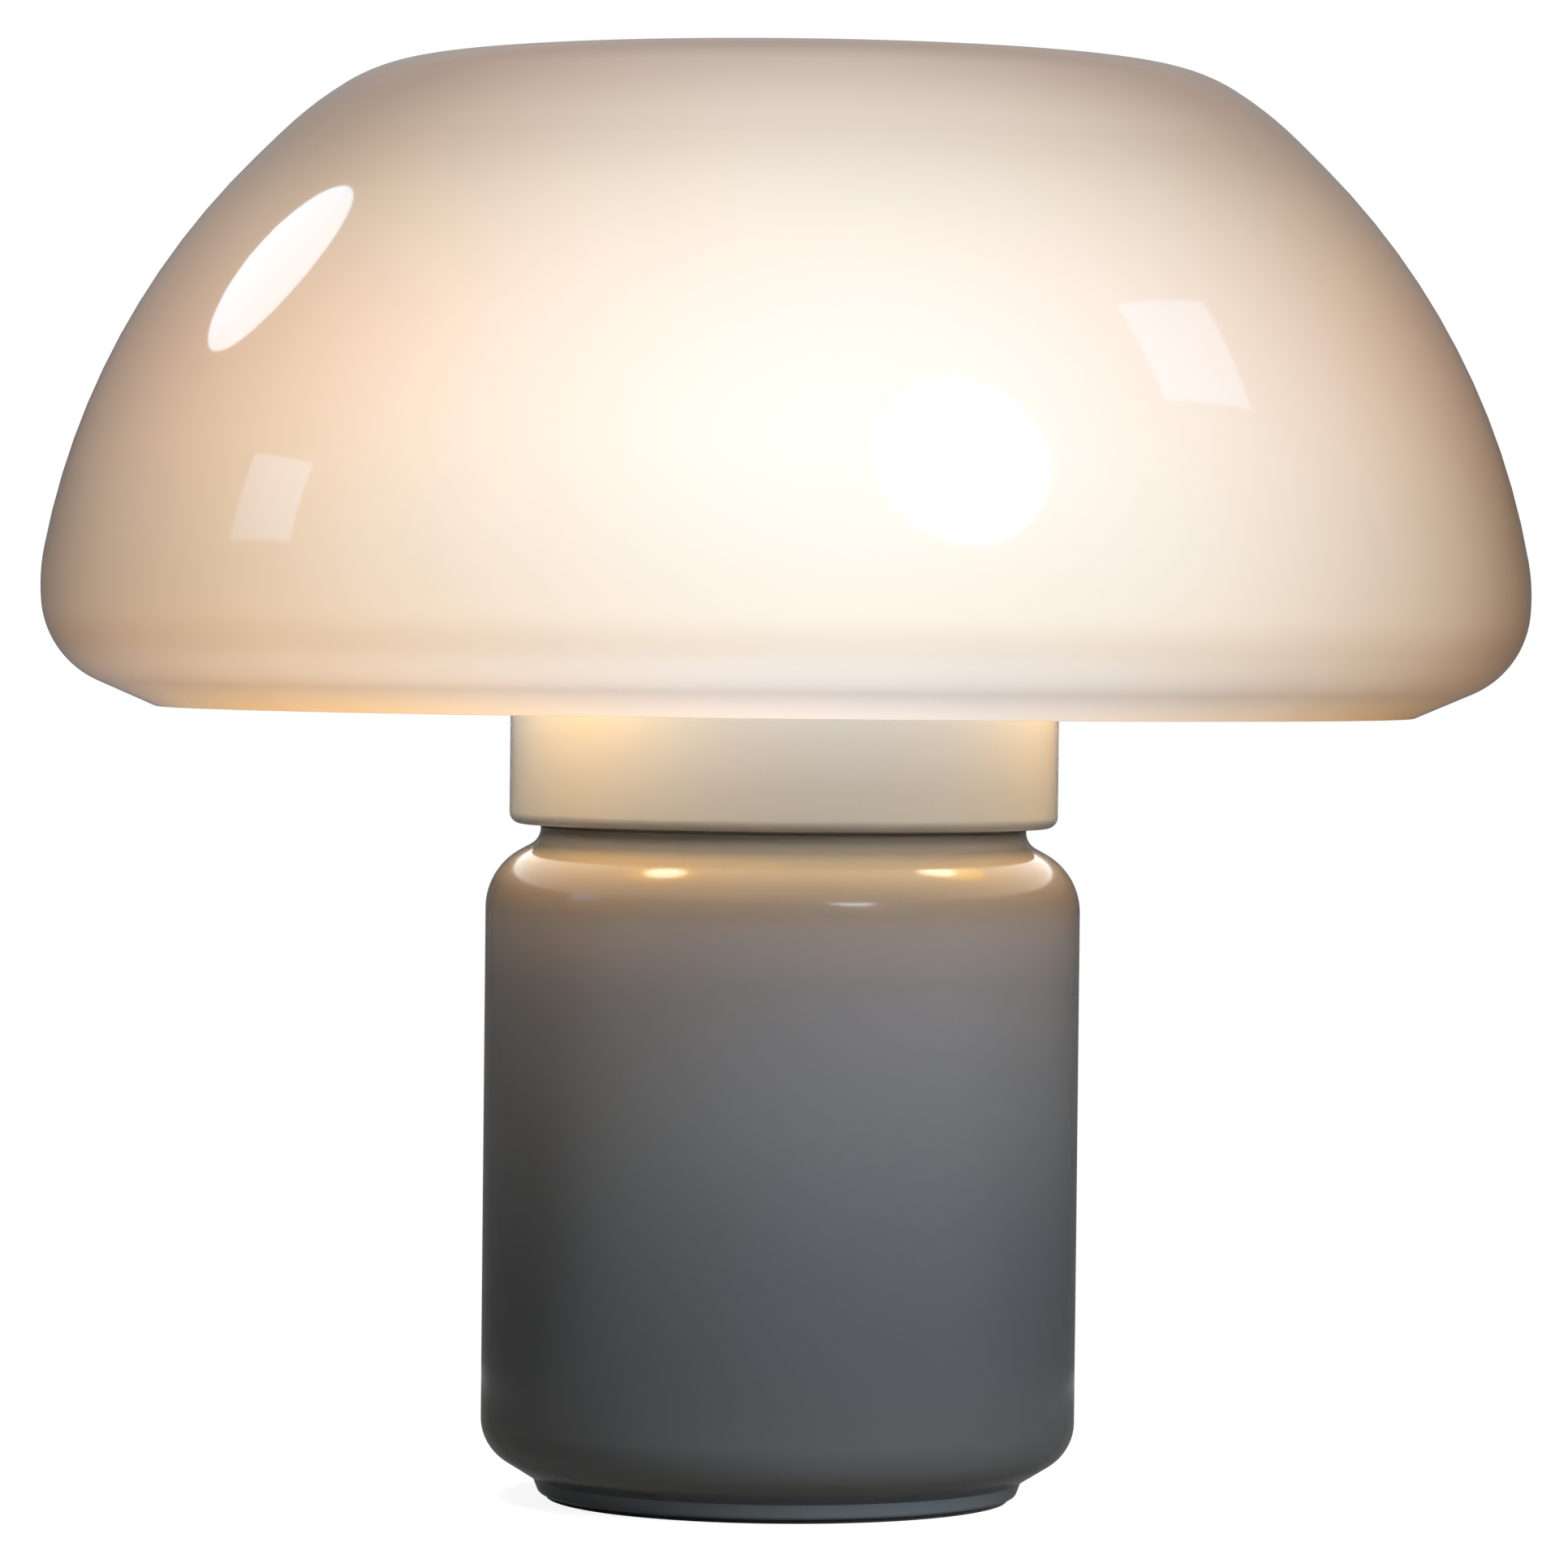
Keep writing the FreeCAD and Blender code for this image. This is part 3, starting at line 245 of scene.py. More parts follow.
def mesh_object(name, mesh_data, material):
    """An object of one material, from the mesh that was made for it."""
    mesh = bpy.data.meshes.new(name)
    mesh_data.to_mesh(mesh)
    mesh_data.free()
    mesh.materials.append(material)
    thing = bpy.data.objects.new(name, mesh)
    bpy.context.scene.collection.objects.link(thing)
    return thing


def finished_object(name, mesh_data, body, slot):
    """Makes the piece, shades it smooth and hangs it on its body."""
    piece = mesh_object(name, mesh_data, MATERIALS[slot])
    piece.data.shade_smooth()
    piece.data.set_sharp_from_angle(angle=SHARP_ANGLE)
    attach(piece, body)
    return piece


def on_circle(radius, angle, height):
    """A place in metres, from an angle in radians and two lengths in millimetres."""
    return (radius * math.cos(angle) * MM, radius * math.sin(angle) * MM, height * MM)


def new_ring(made, radius, height, segments):
    """Points all round the Z axis."""
    return [
        made.verts.new(on_circle(radius, 2 * math.pi * index / segments, height))
        for index in range(segments)]


def turned(outline, segments=SEGMENTS, place=None):
    """Turns a closed outline about the Z axis; `place` moves the result."""
    made = bmesh.new()
    rings = []
    for radius, height in outline:
        if radius < ON_AXIS:
            rings.append([made.verts.new((0, 0, height * MM))])
        else:
            rings.append(new_ring(made, radius, height, segments))
    for first, second in zip(rings, rings[1:] + rings[:1]):
        if len(first) == 1 and len(second) == 1:
            continue
        for index in range(segments):
            after = (index + 1) % segments
            if len(first) == 1:
                made.faces.new((first[0], second[index], second[after]))
            elif len(second) == 1:
                made.faces.new((first[index], second[0], first[after]))
            else:
                made.faces.new((first[index], second[index], second[after], first[after]))
    bmesh.ops.recalc_face_normals(made, faces=made.faces)
    if place is not None:
        made.transform(place)
    return made


def add_turned(made, outline, segments, closed=True):
    """Turns an outline into a mesh that is being made; a closed one joins its two ends."""
    rings = [new_ring(made, radius, height, segments) for radius, height in outline]
    following = rings[1:] + rings[:1] if closed else rings[1:]
    for first, second in zip(rings, following):
        for index in range(segments):
            after = (index + 1) % segments
            made.faces.new((first[index], first[after], second[after], second[index]))


def screw_thread(made, profile, pitch, start, end, segments):
    """A helical surface from `start` to `end`; the profile is (share of the pitch, radius).

    It runs out into its root circle at both ends, over half a pitch.
    """
    turns = math.ceil((end - start) / pitch + 1 - profile[-1][0]) + 1
    root = min(radius for _, radius in profile)
    strands = []
    for share, radius in profile:
        strand = []
        for index in range(turns * segments + 1):
            height = start + pitch * (index / segments + share - 1)
            depth = min(1.0, max(0.0, min(height - start, end - height) / (pitch / 2)))
            reach = root + (radius - root) * depth
            height = min(max(height, start), end)
            angle = 2 * math.pi * index / segments
            strand.append(made.verts.new(on_circle(reach, angle, height)))
        strands.append(strand)
    for lower, upper in zip(strands, strands[1:]):
        for index in range(turns * segments):
            made.faces.new((lower[index], lower[index + 1], upper[index + 1], upper[index]))
    lower = strands[-1]
    upper = strands[0][segments:]
    for index in range((turns - 1) * segments):
        made.faces.new((lower[index], lower[index + 1], upper[index + 1], upper[index]))


def join_parts(made):
    """Joins the rings that meet and drops the faces that a thread's ends squeeze to nothing."""
    bmesh.ops.remove_doubles(made, verts=made.verts, dist=JOINED)
    bmesh.ops.dissolve_degenerate(made, dist=SQUEEZED, edges=made.edges)


def along_bulb(angle):
    """From a piece turned about Z to one that points outward at a bulb's angle and height."""
    lift = Matrix.Translation((0, 0, BULB_HEIGHT * MM))
    swing = Matrix.Rotation(math.radians(angle), 4, "Z")
    tip = Matrix.Rotation(math.radians(90), 4, "Y")
    return lift @ swing @ tip


# ---------------------------------------------------------------------------------------------
# Node trees
# ---------------------------------------------------------------------------------------------


# the part of a noise's values that most of it lies in
NOISE_RANGE = (0.3, 0.7)


class Shading:
    """A material and short calls that build its node tree."""

    def __init__(self, name):
        self.material = bpy.data.materials.new(name)
        self.material.use_nodes = True
        self.tree = self.material.node_tree
        self.shader = self.tree.nodes["Principled BSDF"]
        self.object_place = self.add("ShaderNodeTexCoord").outputs["Object"]

    def add(self, kind, inputs=None, **settings):
        """A node; the inputs are values or other nodes' outputs."""
        node = self.tree.nodes.new(kind)
        for field, value in settings.items():
            setattr(node, field, value)
        for socket, value in (inputs or {}).items():
            self.feed(node.inputs[socket], value)
        return node

    def feed(self, socket, value):
        """Links another node's output to a socket, or sets the socket's value."""
        if isinstance(value, bpy.types.NodeSocket):
            self.tree.links.new(value, socket)
        else:
            socket.default_value = value

    def surface(self, **values):
        """Sets the shader's own sockets: base_color for Base Color, and so on."""
        for field, value in values.items():
            name = field.replace("_", " ").title().replace("Ior", "IOR")
            self.feed(self.shader.inputs[name], value)

    def noise(self, scale, detail=2.0, roughness=0.5, place=None):
        """Soft random values about 0.5; a larger scale is finer."""
        inputs = {
            "Vector": place or self.object_place,
            "Scale": scale,
            "Detail": detail,
            "Roughness": roughness,
        }
        return self.add("ShaderNodeTexNoise", inputs).outputs["Fac"]

    def cloud(self, scale, detail=2.0, roughness=0.5, low=0.0, high=1.0):
        """Noise drawn out to the whole range from `low` to `high`."""
        return self.spread(self.noise(scale, detail, roughness), *NOISE_RANGE, low, high)

    def stretched(self, scale):
        """Object coordinates stretched along an axis, for brushed or drawn marks."""
        inputs = {"Vector": self.object_place, "Scale": scale}
        return self.add("ShaderNodeMapping", inputs).outputs["Vector"]

    def math(self, operation, first, second=0.0):
        """A sum, product or the like of two values."""
        node = self.add("ShaderNodeMath", operation=operation)
        self.feed(node.inputs[0], first)
        self.feed(node.inputs[1], second)
        return node.outputs[0]

    def spread(self, value, low, high, out_low, out_high):
        """Maps low..high to out_low..out_high and holds the value at both ends."""
        inputs = {
            "Value": value,
            "From Min": low,
            "From Max": high,
            "To Min": out_low,
            "To Max": out_high,
        }
        return self.add("ShaderNodeMapRange", inputs).outputs["Result"]

    def blend(self, share, first, second):
        """The first colour at a share of 0, the second at 1."""
        node = self.add("ShaderNodeMix", data_type="RGBA")
        self.feed(node.inputs["Factor"], share)
        self.feed(node.inputs[6], first)
        self.feed(node.inputs[7], second)
        return node.outputs[2]

    def product(self, first, second):
        """Two colours multiplied, part by part."""
        node = self.add("ShaderNodeMix", data_type="RGBA", blend_type="MULTIPLY")
        node.inputs["Factor"].default_value = 1.0
        self.feed(node.inputs[6], first)
        self.feed(node.inputs[7], second)
        return node.outputs[2]

    def axis(self, name):
        """One of the object's own coordinates, in metres."""
        return self.add("ShaderNodeSeparateXYZ", {"Vector": self.object_place}).outputs[name]

    def by_height(self, stops, full=1.0):
        """A colour that changes with height; the stops' colours are divided by `full`."""
        low, high = stops[0][0], stops[-1][0]
        share = self.spread(self.axis("Z"), low * MM, high * MM, 0.0, 1.0)
        node = self.add("ShaderNodeValToRGB", {"Fac": share})
        ramp = node.color_ramp
        ramp.interpolation = "CARDINAL"
        places = [(height - low) / (high - low) for height, _ in stops]
        while len(ramp.elements) < len(stops):
            ramp.elements.new(0.5)
        for element, place in zip(ramp.elements, places):
            element.position = place
        for element, (_, colour) in zip(ramp.elements, stops):
            element.color = [part / full for part in colour[:3]] + [1.0]
        return node.outputs["Color"]

    def bump(self, height, strength, distance):
        """A relief of the surface; the distance is in metres."""
        inputs = {"Height": height, "Strength": strength, "Distance": distance}
        relief = self.add("ShaderNodeBump", inputs)
        self.feed(self.shader.inputs["Normal"], relief.outputs["Normal"])


def rgb(red, green, blue):
    """A colour in linear light."""
    return (red, green, blue, 1.0)


def grey(level):
    """A colour without a hue; above 1 it brightens what it multiplies."""
    return rgb(level, level, level)


def shaded(colour, factor):
    """A colour made darker or lighter, no brighter than white."""
    return rgb(*(min(1.0, part * factor) for part in colour[:3]))


# ---------------------------------------------------------------------------------------------
# Materials
# ---------------------------------------------------------------------------------------------

WHITE = grey(1)
SHADE_WHITE = rgb(0.80, 0.78, 0.75)
# painted light: the acrylic's own colour made a little lighter close to a bulb
SHADE_WHITE_PAINTED_BULB_LIGHT = shaded(SHADE_WHITE, 1.03)
BULB_GLOW = rgb(1.0, 0.92, 0.40)
BULB_TINT = rgb(0.80, 0.62, 0.45)
BULB_STRENGTH = 16.0

# height in millimetres and colour of the collar's enamel, with painted shade in it: darker at the
# bottom and lighter towards the top, where more of the shade's light falls
COLLAR_WITH_PAINTED_SHADE_BY_HEIGHT = (
    (163.0, rgb(0.345, 0.298, 0.240)),
    (190.0, rgb(0.383, 0.345, 0.305)),
    (205.0, rgb(0.383, 0.345, 0.305)),
)

# height in millimetres and colour of the base's enamel, with painted light and shade in it:
# lighter and warmer at the shoulder and neck, where the shade's glow falls, darker down the side,
# and lighter again at the foot
ENAMEL_WITH_PAINTED_LIGHT_BY_HEIGHT = (
    (0.0, rgb(0.200, 0.222, 0.230)),
    (4.8, rgb(0.200, 0.222, 0.230)),
    (6.5, rgb(0.150, 0.148, 0.137)),
    (14.0, rgb(0.122, 0.126, 0.128)),
    (48.0, rgb(0.110, 0.116, 0.127)),
    (88.0, rgb(0.152, 0.156, 0.164)),
    (127.0, rgb(0.189, 0.175, 0.173)),
    (141.0, rgb(0.243, 0.199, 0.173)),
    (149.0, rgb(0.229, 0.160, 0.102)),
    (156.0, rgb(0.369, 0.268, 0.165)),
    (160.0, rgb(0.460, 0.375, 0.290)),
    (165.0, rgb(0.460, 0.375, 0.290)),
)

# height in millimetres and colour of the light that the shade gives off
GLOW_BY_HEIGHT = (
    (190.0, rgb(3.50, 4.45, 5.60)),
    (197.0, rgb(2.37, 2.86, 3.38)),
    (205.0, rgb(1.52, 1.61, 1.61)),
    (215.0, rgb(1.36, 1.42, 1.36)),
    (230.0, rgb(1.36, 1.47, 1.48)),
    (250.0, rgb(1.50, 1.63, 1.70)),
    (280.0, rgb(1.60, 1.69, 1.78)),
    (310.0, rgb(1.46, 1.61, 1.63)),
    (335.0, rgb(1.19, 1.25, 1.26)),
    (352.0, rgb(1.40, 1.50, 1.62)),
)
# the glow's unit, and what it is multiplied by beside a bulb and at the two ends of X; the factors
# along X are painted light and shade, the glow brighter on the left and dimmer on the right, where
# the key light falls
GLOW_STRENGTH = 6.0
GLOW_NEAR_BULB = rgb(1.22, 0.72, 0.22)
GLOW_LEFT_PAINTED_LIGHT = rgb(1.20, 1.21, 1.22)
GLOW_RIGHT_PAINTED_SHADE = rgb(0.81, 0.78, 0.67)
# the depth of the acrylic, which darkens it towards its limb
DEPTH_TINT = rgb(0.520, 0.466, 0.437)
INSIDE_NEAR_BULB = rgb(0.85, 0.85, 0.80)
INSIDE_FAR = rgb(0.50, 0.64, 0.80)
INSIDE_STRENGTH = 1.92

# how far a bulb's warmth reaches in metres, and the sums of it that are far and close
WARMTH_REACH = 0.07
WARMTH_RANGE = (0.406, 0.731)

# drawn metal is marked along its length
DRAWN_GRAIN = (1.0, 1.0, 0.15)


def enamel(name, stops, roughness, gloss, depth_tint):
    """Sprayed enamel under a clear coat, with a faint orange peel; its colour changes with height
    as the stops give, and those stops paint light and shade into it.
    """
    work = Shading(name)
    unevenness = work.blend(work.cloud(scale=9.0, detail=3.0), grey(0.97), grey(1.03))
    work.surface(
        base_color=work.product(work.by_height(stops), unevenness),
        roughness=work.cloud(scale=40.0, low=roughness * 0.9, high=roughness * 1.1),
        specular_ior_level=gloss,
        coat_weight=1.0,
        coat_roughness=0.03,
        coat_ior=1.05,
        coat_tint=depth_tint)
    work.bump(work.noise(scale=260.0, detail=1.0), strength=0.03, distance=0.0004)
    return work.material


def bulb_nearness(work):
    """0 far from the bulbs to 1 close to one."""
    total = None
    for angle in BULB_ANGLES:
        centre = on_circle(BULB_CENTRE_REACH, math.radians(angle), BULB_HEIGHT)
        reach = work.add("ShaderNodeVectorMath", {1: centre}, operation="DISTANCE")
        work.feed(reach.inputs[0], work.object_place)
        share = work.math("DIVIDE", reach.outputs["Value"], WARMTH_REACH)
        spread_out = work.math("ADD", work.math("MULTIPLY", share, share), 1.0)
        falloff = work.math("DIVIDE", 1.0, spread_out)
        total = falloff if total is None else work.math("ADD", total, falloff)
    return work.spread(total, *WARMTH_RANGE, 0.0, 1.0)


def opal(name):
    """Milky acrylic lit from within: warmer near a bulb, under a tinted depth and a gloss."""
    work = Shading(name)
    near = bulb_nearness(work)
    cloud = work.cloud(scale=14.0, detail=3.0)
    across = work.spread(work.axis("X"), -SHADE_RADIUS * MM, SHADE_RADIUS * MM, 0.0, 1.0)
    glow = work.by_height(GLOW_BY_HEIGHT, GLOW_STRENGTH)
    glow = work.product(glow, work.blend(near, WHITE, GLOW_NEAR_BULB))
    # painted light and shade: the glow made brighter on the left and dimmer on the right
    glow = work.product(glow, work.blend(across, GLOW_LEFT_PAINTED_LIGHT, GLOW_RIGHT_PAINTED_SHADE))
    glow = work.product(glow, work.blend(cloud, grey(0.985), grey(1.015)))
    # the base colour carries painted light, a little lighter close to each bulb
    work.surface(
        base_color=work.blend(near, SHADE_WHITE, SHADE_WHITE_PAINTED_BULB_LIGHT),
        roughness=0.05,
        specular_ior_level=0.5,
        coat_weight=1.0,
        coat_roughness=0.02,
        coat_ior=1.06,
        coat_tint=DEPTH_TINT,
        emission_color=glow,
        emission_strength=GLOW_STRENGTH)
    work.bump(work.noise(scale=22.0, detail=1.0), strength=0.02, distance=0.001)
    return work.material


def opal_inside(name):
    """The inner face of the acrylic, brighter than the outer one."""
    work = Shading(name)
    near = bulb_nearness(work)
    # the base colour carries painted light, a little lighter close to each bulb
    work.surface(
        base_color=work.blend(near, SHADE_WHITE, SHADE_WHITE_PAINTED_BULB_LIGHT),
        roughness=0.12,
        emission_color=work.blend(near, INSIDE_FAR, INSIDE_NEAR_BULB),
        emission_strength=INSIDE_STRENGTH)
    return work.material


def lit_glass(name):
    """Frosted bulb glass, alight."""
    work = Shading(name)
    mottling = work.cloud(scale=60.0)
    frost = work.noise(scale=30.0)
    work.surface(
        base_color=work.blend(frost, rgb(0.82, 0.80, 0.75), rgb(0.88, 0.86, 0.82)),
        roughness=0.25,
        coat_weight=1.0,
        coat_roughness=0.1,
        coat_ior=1.03,
        coat_tint=BULB_TINT,
        emission_color=work.blend(mottling, shaded(BULB_GLOW, 0.94), BULB_GLOW),
        emission_strength=BULB_STRENGTH)
    return work.material


def metal(name, colour, roughness):
    """Plated metal with fine drawn marks and duller patches."""
    work = Shading(name)
    marks = work.noise(scale=900.0, detail=3.0, place=work.stretched(DRAWN_GRAIN))
    patches = work.spread(work.noise(scale=70.0, detail=4.0), 0.35, 0.7, 0.0, 1.0)
    work.surface(
        base_color=work.blend(patches, colour, shaded(colour, 0.82)),
        metallic=1.0,
        roughness=work.spread(patches, 0.0, 1.0, roughness, roughness * 1.6))
    work.bump(marks, strength=0.12, distance=0.0002)
    return work.material


def cast_metal(name, colour):
    """Sand-cast iron, painted dull."""
    work = Shading(name)
    grit = work.noise(scale=420.0, detail=4.0, roughness=0.7)
    work.surface(
        base_color=work.blend(grit, shaded(colour, 0.7), shaded(colour, 1.3)),
        roughness=0.7,
        specular_ior_level=0.3)
    work.bump(grit, strength=0.5, distance=0.0006)
    return work.material


def moulded(name, colour, roughness, grit=0.15):
    """Moulded plastic or rubber: a faint flow pattern and a fine skin."""
    work = Shading(name)
    flow = work.cloud(scale=55.0, detail=5.0, roughness=0.6)
    skin = work.noise(scale=1400.0)
    work.surface(
        base_color=work.blend(flow, shaded(colour, 0.88), shaded(colour, 1.1)),
        roughness=work.spread(skin, *NOISE_RANGE, roughness * 0.85, roughness * 1.15),
        specular_ior_level=0.4)
    work.bump(skin, strength=grit, distance=0.0002)
    return work.material


def felt(name, colour):
    """Pressed wool felt."""
    work = Shading(name)
    fibres = work.noise(scale=1600.0, detail=6.0, roughness=0.75)
    work.surface(
        base_color=work.blend(fibres, shaded(colour, 0.6), shaded(colour, 1.5)),
        roughness=1.0,
        specular_ior_level=0.1,
        sheen_weight=0.4,
        sheen_roughness=0.5)
    work.bump(fibres, strength=0.6, distance=0.0006)
    return work.material


# the material of every slot that the record names
MATERIALS = {
    "opal_acrylic": opal("opal_acrylic_lit"),
    "base_enamel": enamel(
        "base_enamel_grey", ENAMEL_WITH_PAINTED_LIGHT_BY_HEIGHT, roughness=0.15, gloss=0.19, depth_tint=grey(0.84)),
    "collar_enamel": enamel(
        "collar_enamel_white", COLLAR_WITH_PAINTED_SHADE_BY_HEIGHT, roughness=0.2, gloss=0.3, depth_tint=grey(0.98)),
    "bulb_glass": lit_glass("bulb_glass_lit"),
    "zinc_steel": metal("zinc_steel_plated", rgb(0.60, 0.61, 0.62), roughness=0.28),
    "brass": metal("brass_drawn", rgb(0.72, 0.52, 0.25), roughness=0.25),
    "cast_iron": cast_metal("cast_iron_painted", rgb(0.055, 0.057, 0.06)),
    "black_rubber": moulded("black_rubber_soft", rgb(0.02, 0.02, 0.021), roughness=0.6),
    "pad_rubber": moulded("pad_rubber_pale", rgb(0.62, 0.61, 0.56), roughness=0.55),
    "holder_moulding": moulded(
        "holder_moulding_white", rgb(0.70, 0.67, 0.60), roughness=0.32, grit=0.08),
    "block_moulding": moulded(
        "block_moulding_ivory", rgb(0.62, 0.58, 0.48), roughness=0.4, grit=0.08),
    "black_glass": moulded(
        "black_glass_insulator", rgb(0.01, 0.01, 0.012), roughness=0.12, grit=0.02),
    "wire_sheath": moulded("wire_sheath_white", rgb(0.70, 0.69, 0.66), roughness=0.4),
    "felt": felt("felt_grey", rgb(0.05, 0.052, 0.055)),
}

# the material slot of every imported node
NODE_SLOTS = {entry["node"]: entry["material_slot"] for entry in frame["record"]["subparts"]}

# ---------------------------------------------------------------------------------------------
# Pieces
# ---------------------------------------------------------------------------------------------


def shade_outline():
    """From the apex down the outside, round the rim and back up the inside."""
    side_top_normal = 90 - BELLY_ABOVE - SIDE[1]
    dome_turn = side_top_normal - SHOULDER[1] - CROWN[1]
    below_dome = Vector((0, 0))
    normal = dome_turn
    for radius, turn in (CROWN, SHOULDER, (SLOPE_LENGTH, None), SIDE, (BELLY_RADIUS, BELLY_ABOVE)):
        if turn is None:
            below_dome += direction(-normal) * radius
            continue
        below_dome += (direction(90 - normal - turn) - direction(90 - normal)) * radius
        normal += turn
    dome_radius = (SHADE_RADIUS - below_dome.x) / math.sin(math.radians(dome_turn))
    dome_drop = dome_radius * (1 - math.cos(math.radians(dome_turn)))
    apex = SHADE_WIDEST_HEIGHT - below_dome.y + dome_drop
    belly = BELLY_ABOVE + BELLY_BELOW
    run = Outline(0, apex, 0)
    run.arc(dome_radius, -dome_turn).arc(CROWN[0], -CROWN[1]).arc(SHOULDER[0], -SHOULDER[1])
    run.line(SLOPE_LENGTH).arc(SIDE[0], -SIDE[1]).arc(BELLY_RADIUS, -belly)
    run.arc(BULGE[0], -BULGE[1]).line(LIP_LENGTH)
    run.arc(SHADE_WALL / 2, -180)
    run.line(LIP_LENGTH).arc(BULGE[0] - SHADE_WALL, BULGE[1])
    run.arc(BELLY_RADIUS - SHADE_WALL, belly).arc(SIDE[0] - SHADE_WALL, SIDE[1])
    run.line(SLOPE_LENGTH).arc(SHOULDER[0] - SHADE_WALL, SHOULDER[1])
    run.arc(CROWN[0] - SHADE_WALL, CROWN[1]).arc(dome_radius - SHADE_WALL, dome_turn)
    run.points[-1] = Vector((0, apex - SHADE_WALL))
    return divided_dome(run.points)


def divided_dome(points):
    """Adds points to the long steps of the dome, so that its shading stays even."""
    outline = [points[0]]
    for point in points[1:]:
        start = outline[-1]
        count = math.ceil((point - start).length / LONGEST_DOME_STEP)
        for index in range(1, count + 1):
            outline.append(start + (point - start) * index / count)
    return outline


def make_shade():
    """One closed wall, whose inner face has a material of its own."""
    outline = shade_outline()
    lowest = min(point.y for point in outline)
    inner_start = max(index for index, point in enumerate(outline) if point.y < lowest + 0.01)
    mesh_data = turned(outline)
    for index, face in enumerate(mesh_data.faces):
        face.material_index = 1 if index // SEGMENTS >= inner_start else 0
    piece = finished_object("opal_shade", mesh_data, "shade", "opal_acrylic")
    piece.data.materials.append(opal_inside("opal_acrylic_inside"))
    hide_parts("shade")


def base_outline():
    """The foot's seat, the side, the shoulder and the neck, and back down the inside."""
    lower_rise = math.atan2(LOWER_CORNER[0] - SHELL_BOTTOM, SHELL_RADIUS - FOOT_TOP_RADIUS)
    upper_rise = math.atan2(NECK_CORNER[0] - UPPER_CORNER[0], SHELL_RADIUS - NECK_RADIUS)
    lower_drop = SHELL_WALL * math.tan((math.pi / 2 - lower_rise) / 2)
    upper_drop = SHELL_WALL * math.tan((math.pi / 2 - upper_rise) / 2)
    inside = SHELL_RADIUS - SHELL_WALL
    return rounded([
        (SHELL_OPENING, SHELL_BOTTOM),
        (FOOT_TOP_RADIUS, SHELL_BOTTOM),
        (SHELL_RADIUS, *LOWER_CORNER),
        (SHELL_RADIUS, *UPPER_CORNER),
        (NECK_RADIUS, *NECK_CORNER),
        (NECK_RADIUS, NECK_TOP, NECK_EDGE),
        (NECK_OPENING, NECK_TOP),
        (NECK_OPENING, NECK_TOP - SHELL_WALL),
        (NECK_RADIUS - SHELL_WALL, NECK_TOP - SHELL_WALL),
        (NECK_RADIUS - SHELL_WALL, NECK_CORNER[0] - upper_drop, NECK_CORNER[1]),
        (inside, UPPER_CORNER[0] - upper_drop, UPPER_CORNER[1] - SHELL_WALL),
        (inside, LOWER_CORNER[0] + lower_drop, LOWER_CORNER[1] - SHELL_WALL),
        (FOOT_TOP_RADIUS - SHELL_WALL * math.tan(lower_rise / 2), SHELL_BOTTOM + SHELL_WALL),
        (SHELL_OPENING, SHELL_BOTTOM + SHELL_WALL),
    ])


def make_base():
    """The shell of the base, with its shoulder and neck."""
    piece = finished_object("enamelled_base", turned(base_outline()), "lamp", "base_enamel")
    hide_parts("base_shell")


def make_foot():
    """The plate that the base stands on."""
    outline = rounded([
        (FOOT_BORE, FELT_TOP),
        (FOOT_BOTTOM_RADIUS, FELT_TOP, FOOT_ROUNDING),
        (FOOT_TOP_RADIUS, SHELL_BOTTOM),
        (FOOT_BORE, SHELL_BOTTOM),
    ])
    piece = finished_object("foot_ring", turned(outline), "lamp", "base_enamel")
    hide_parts("foot_plate")


def make_collar():
    """The cup between the base's neck and the shade, with a flange inside its top."""
    inside = COLLAR_RADIUS - COLLAR_WALL
    floor = NECK_TOP + COLLAR_WALL
    outline = rounded([
        (ROD_HOLE, NECK_TOP),
        (COLLAR_RADIUS, NECK_TOP, COLLAR_BOTTOM_ROUNDING),
        (COLLAR_RADIUS, COLLAR_TOP, COLLAR_TOP_ROUNDING),
        (COLLAR_FLANGE_EDGE, COLLAR_TOP),
        (COLLAR_FLANGE_EDGE, COLLAR_TOP - COLLAR_WALL),
        (inside, COLLAR_TOP - COLLAR_WALL),
        (inside, floor, COLLAR_BOTTOM_ROUNDING - COLLAR_WALL),
        (ROD_HOLE, floor),
    ])
    piece = finished_object("white_collar", turned(outline), "lamp", "collar_enamel")
    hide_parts("collar")


def bulb_surface(inset):
    """The neck, the flare and the ball, as (radius, reach) from the neck's open end to the tip."""
    neck = BULB_NECK_RADIUS - inset
    flare = BULB_FLARE + inset
    ball = BULB_RADIUS - inset
    reach = math.sqrt((ball + flare) ** 2 - (neck + flare) ** 2)
    turn = math.degrees(math.atan2(reach, neck + flare))
    run = Outline(neck, BULB_NECK_START, 90)
    run.line(BULB_CENTRE_REACH - reach - BULB_NECK_START)
    run.arc(flare, -turn)
    run.arc(ball, 90 + turn)
    run.points[-1] = Vector((0, BULB_CENTRE_REACH + ball))
    return run.points


def make_bulbs():
    """The glass of the three bulbs, with a wall of even thickness."""
    for number, angle in enumerate(BULB_ANGLES, start=1):
        outline = bulb_surface(0) + list(reversed(bulb_surface(BULB_WALL)))
        mesh_data = turned(outline, BULB_SEGMENTS, along_bulb(angle))
        piece = finished_object(
            f"lit_bulb_{number}", mesh_data, f"bulb_{number}", "bulb_glass")
        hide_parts(f"bulb_glass_{number}")


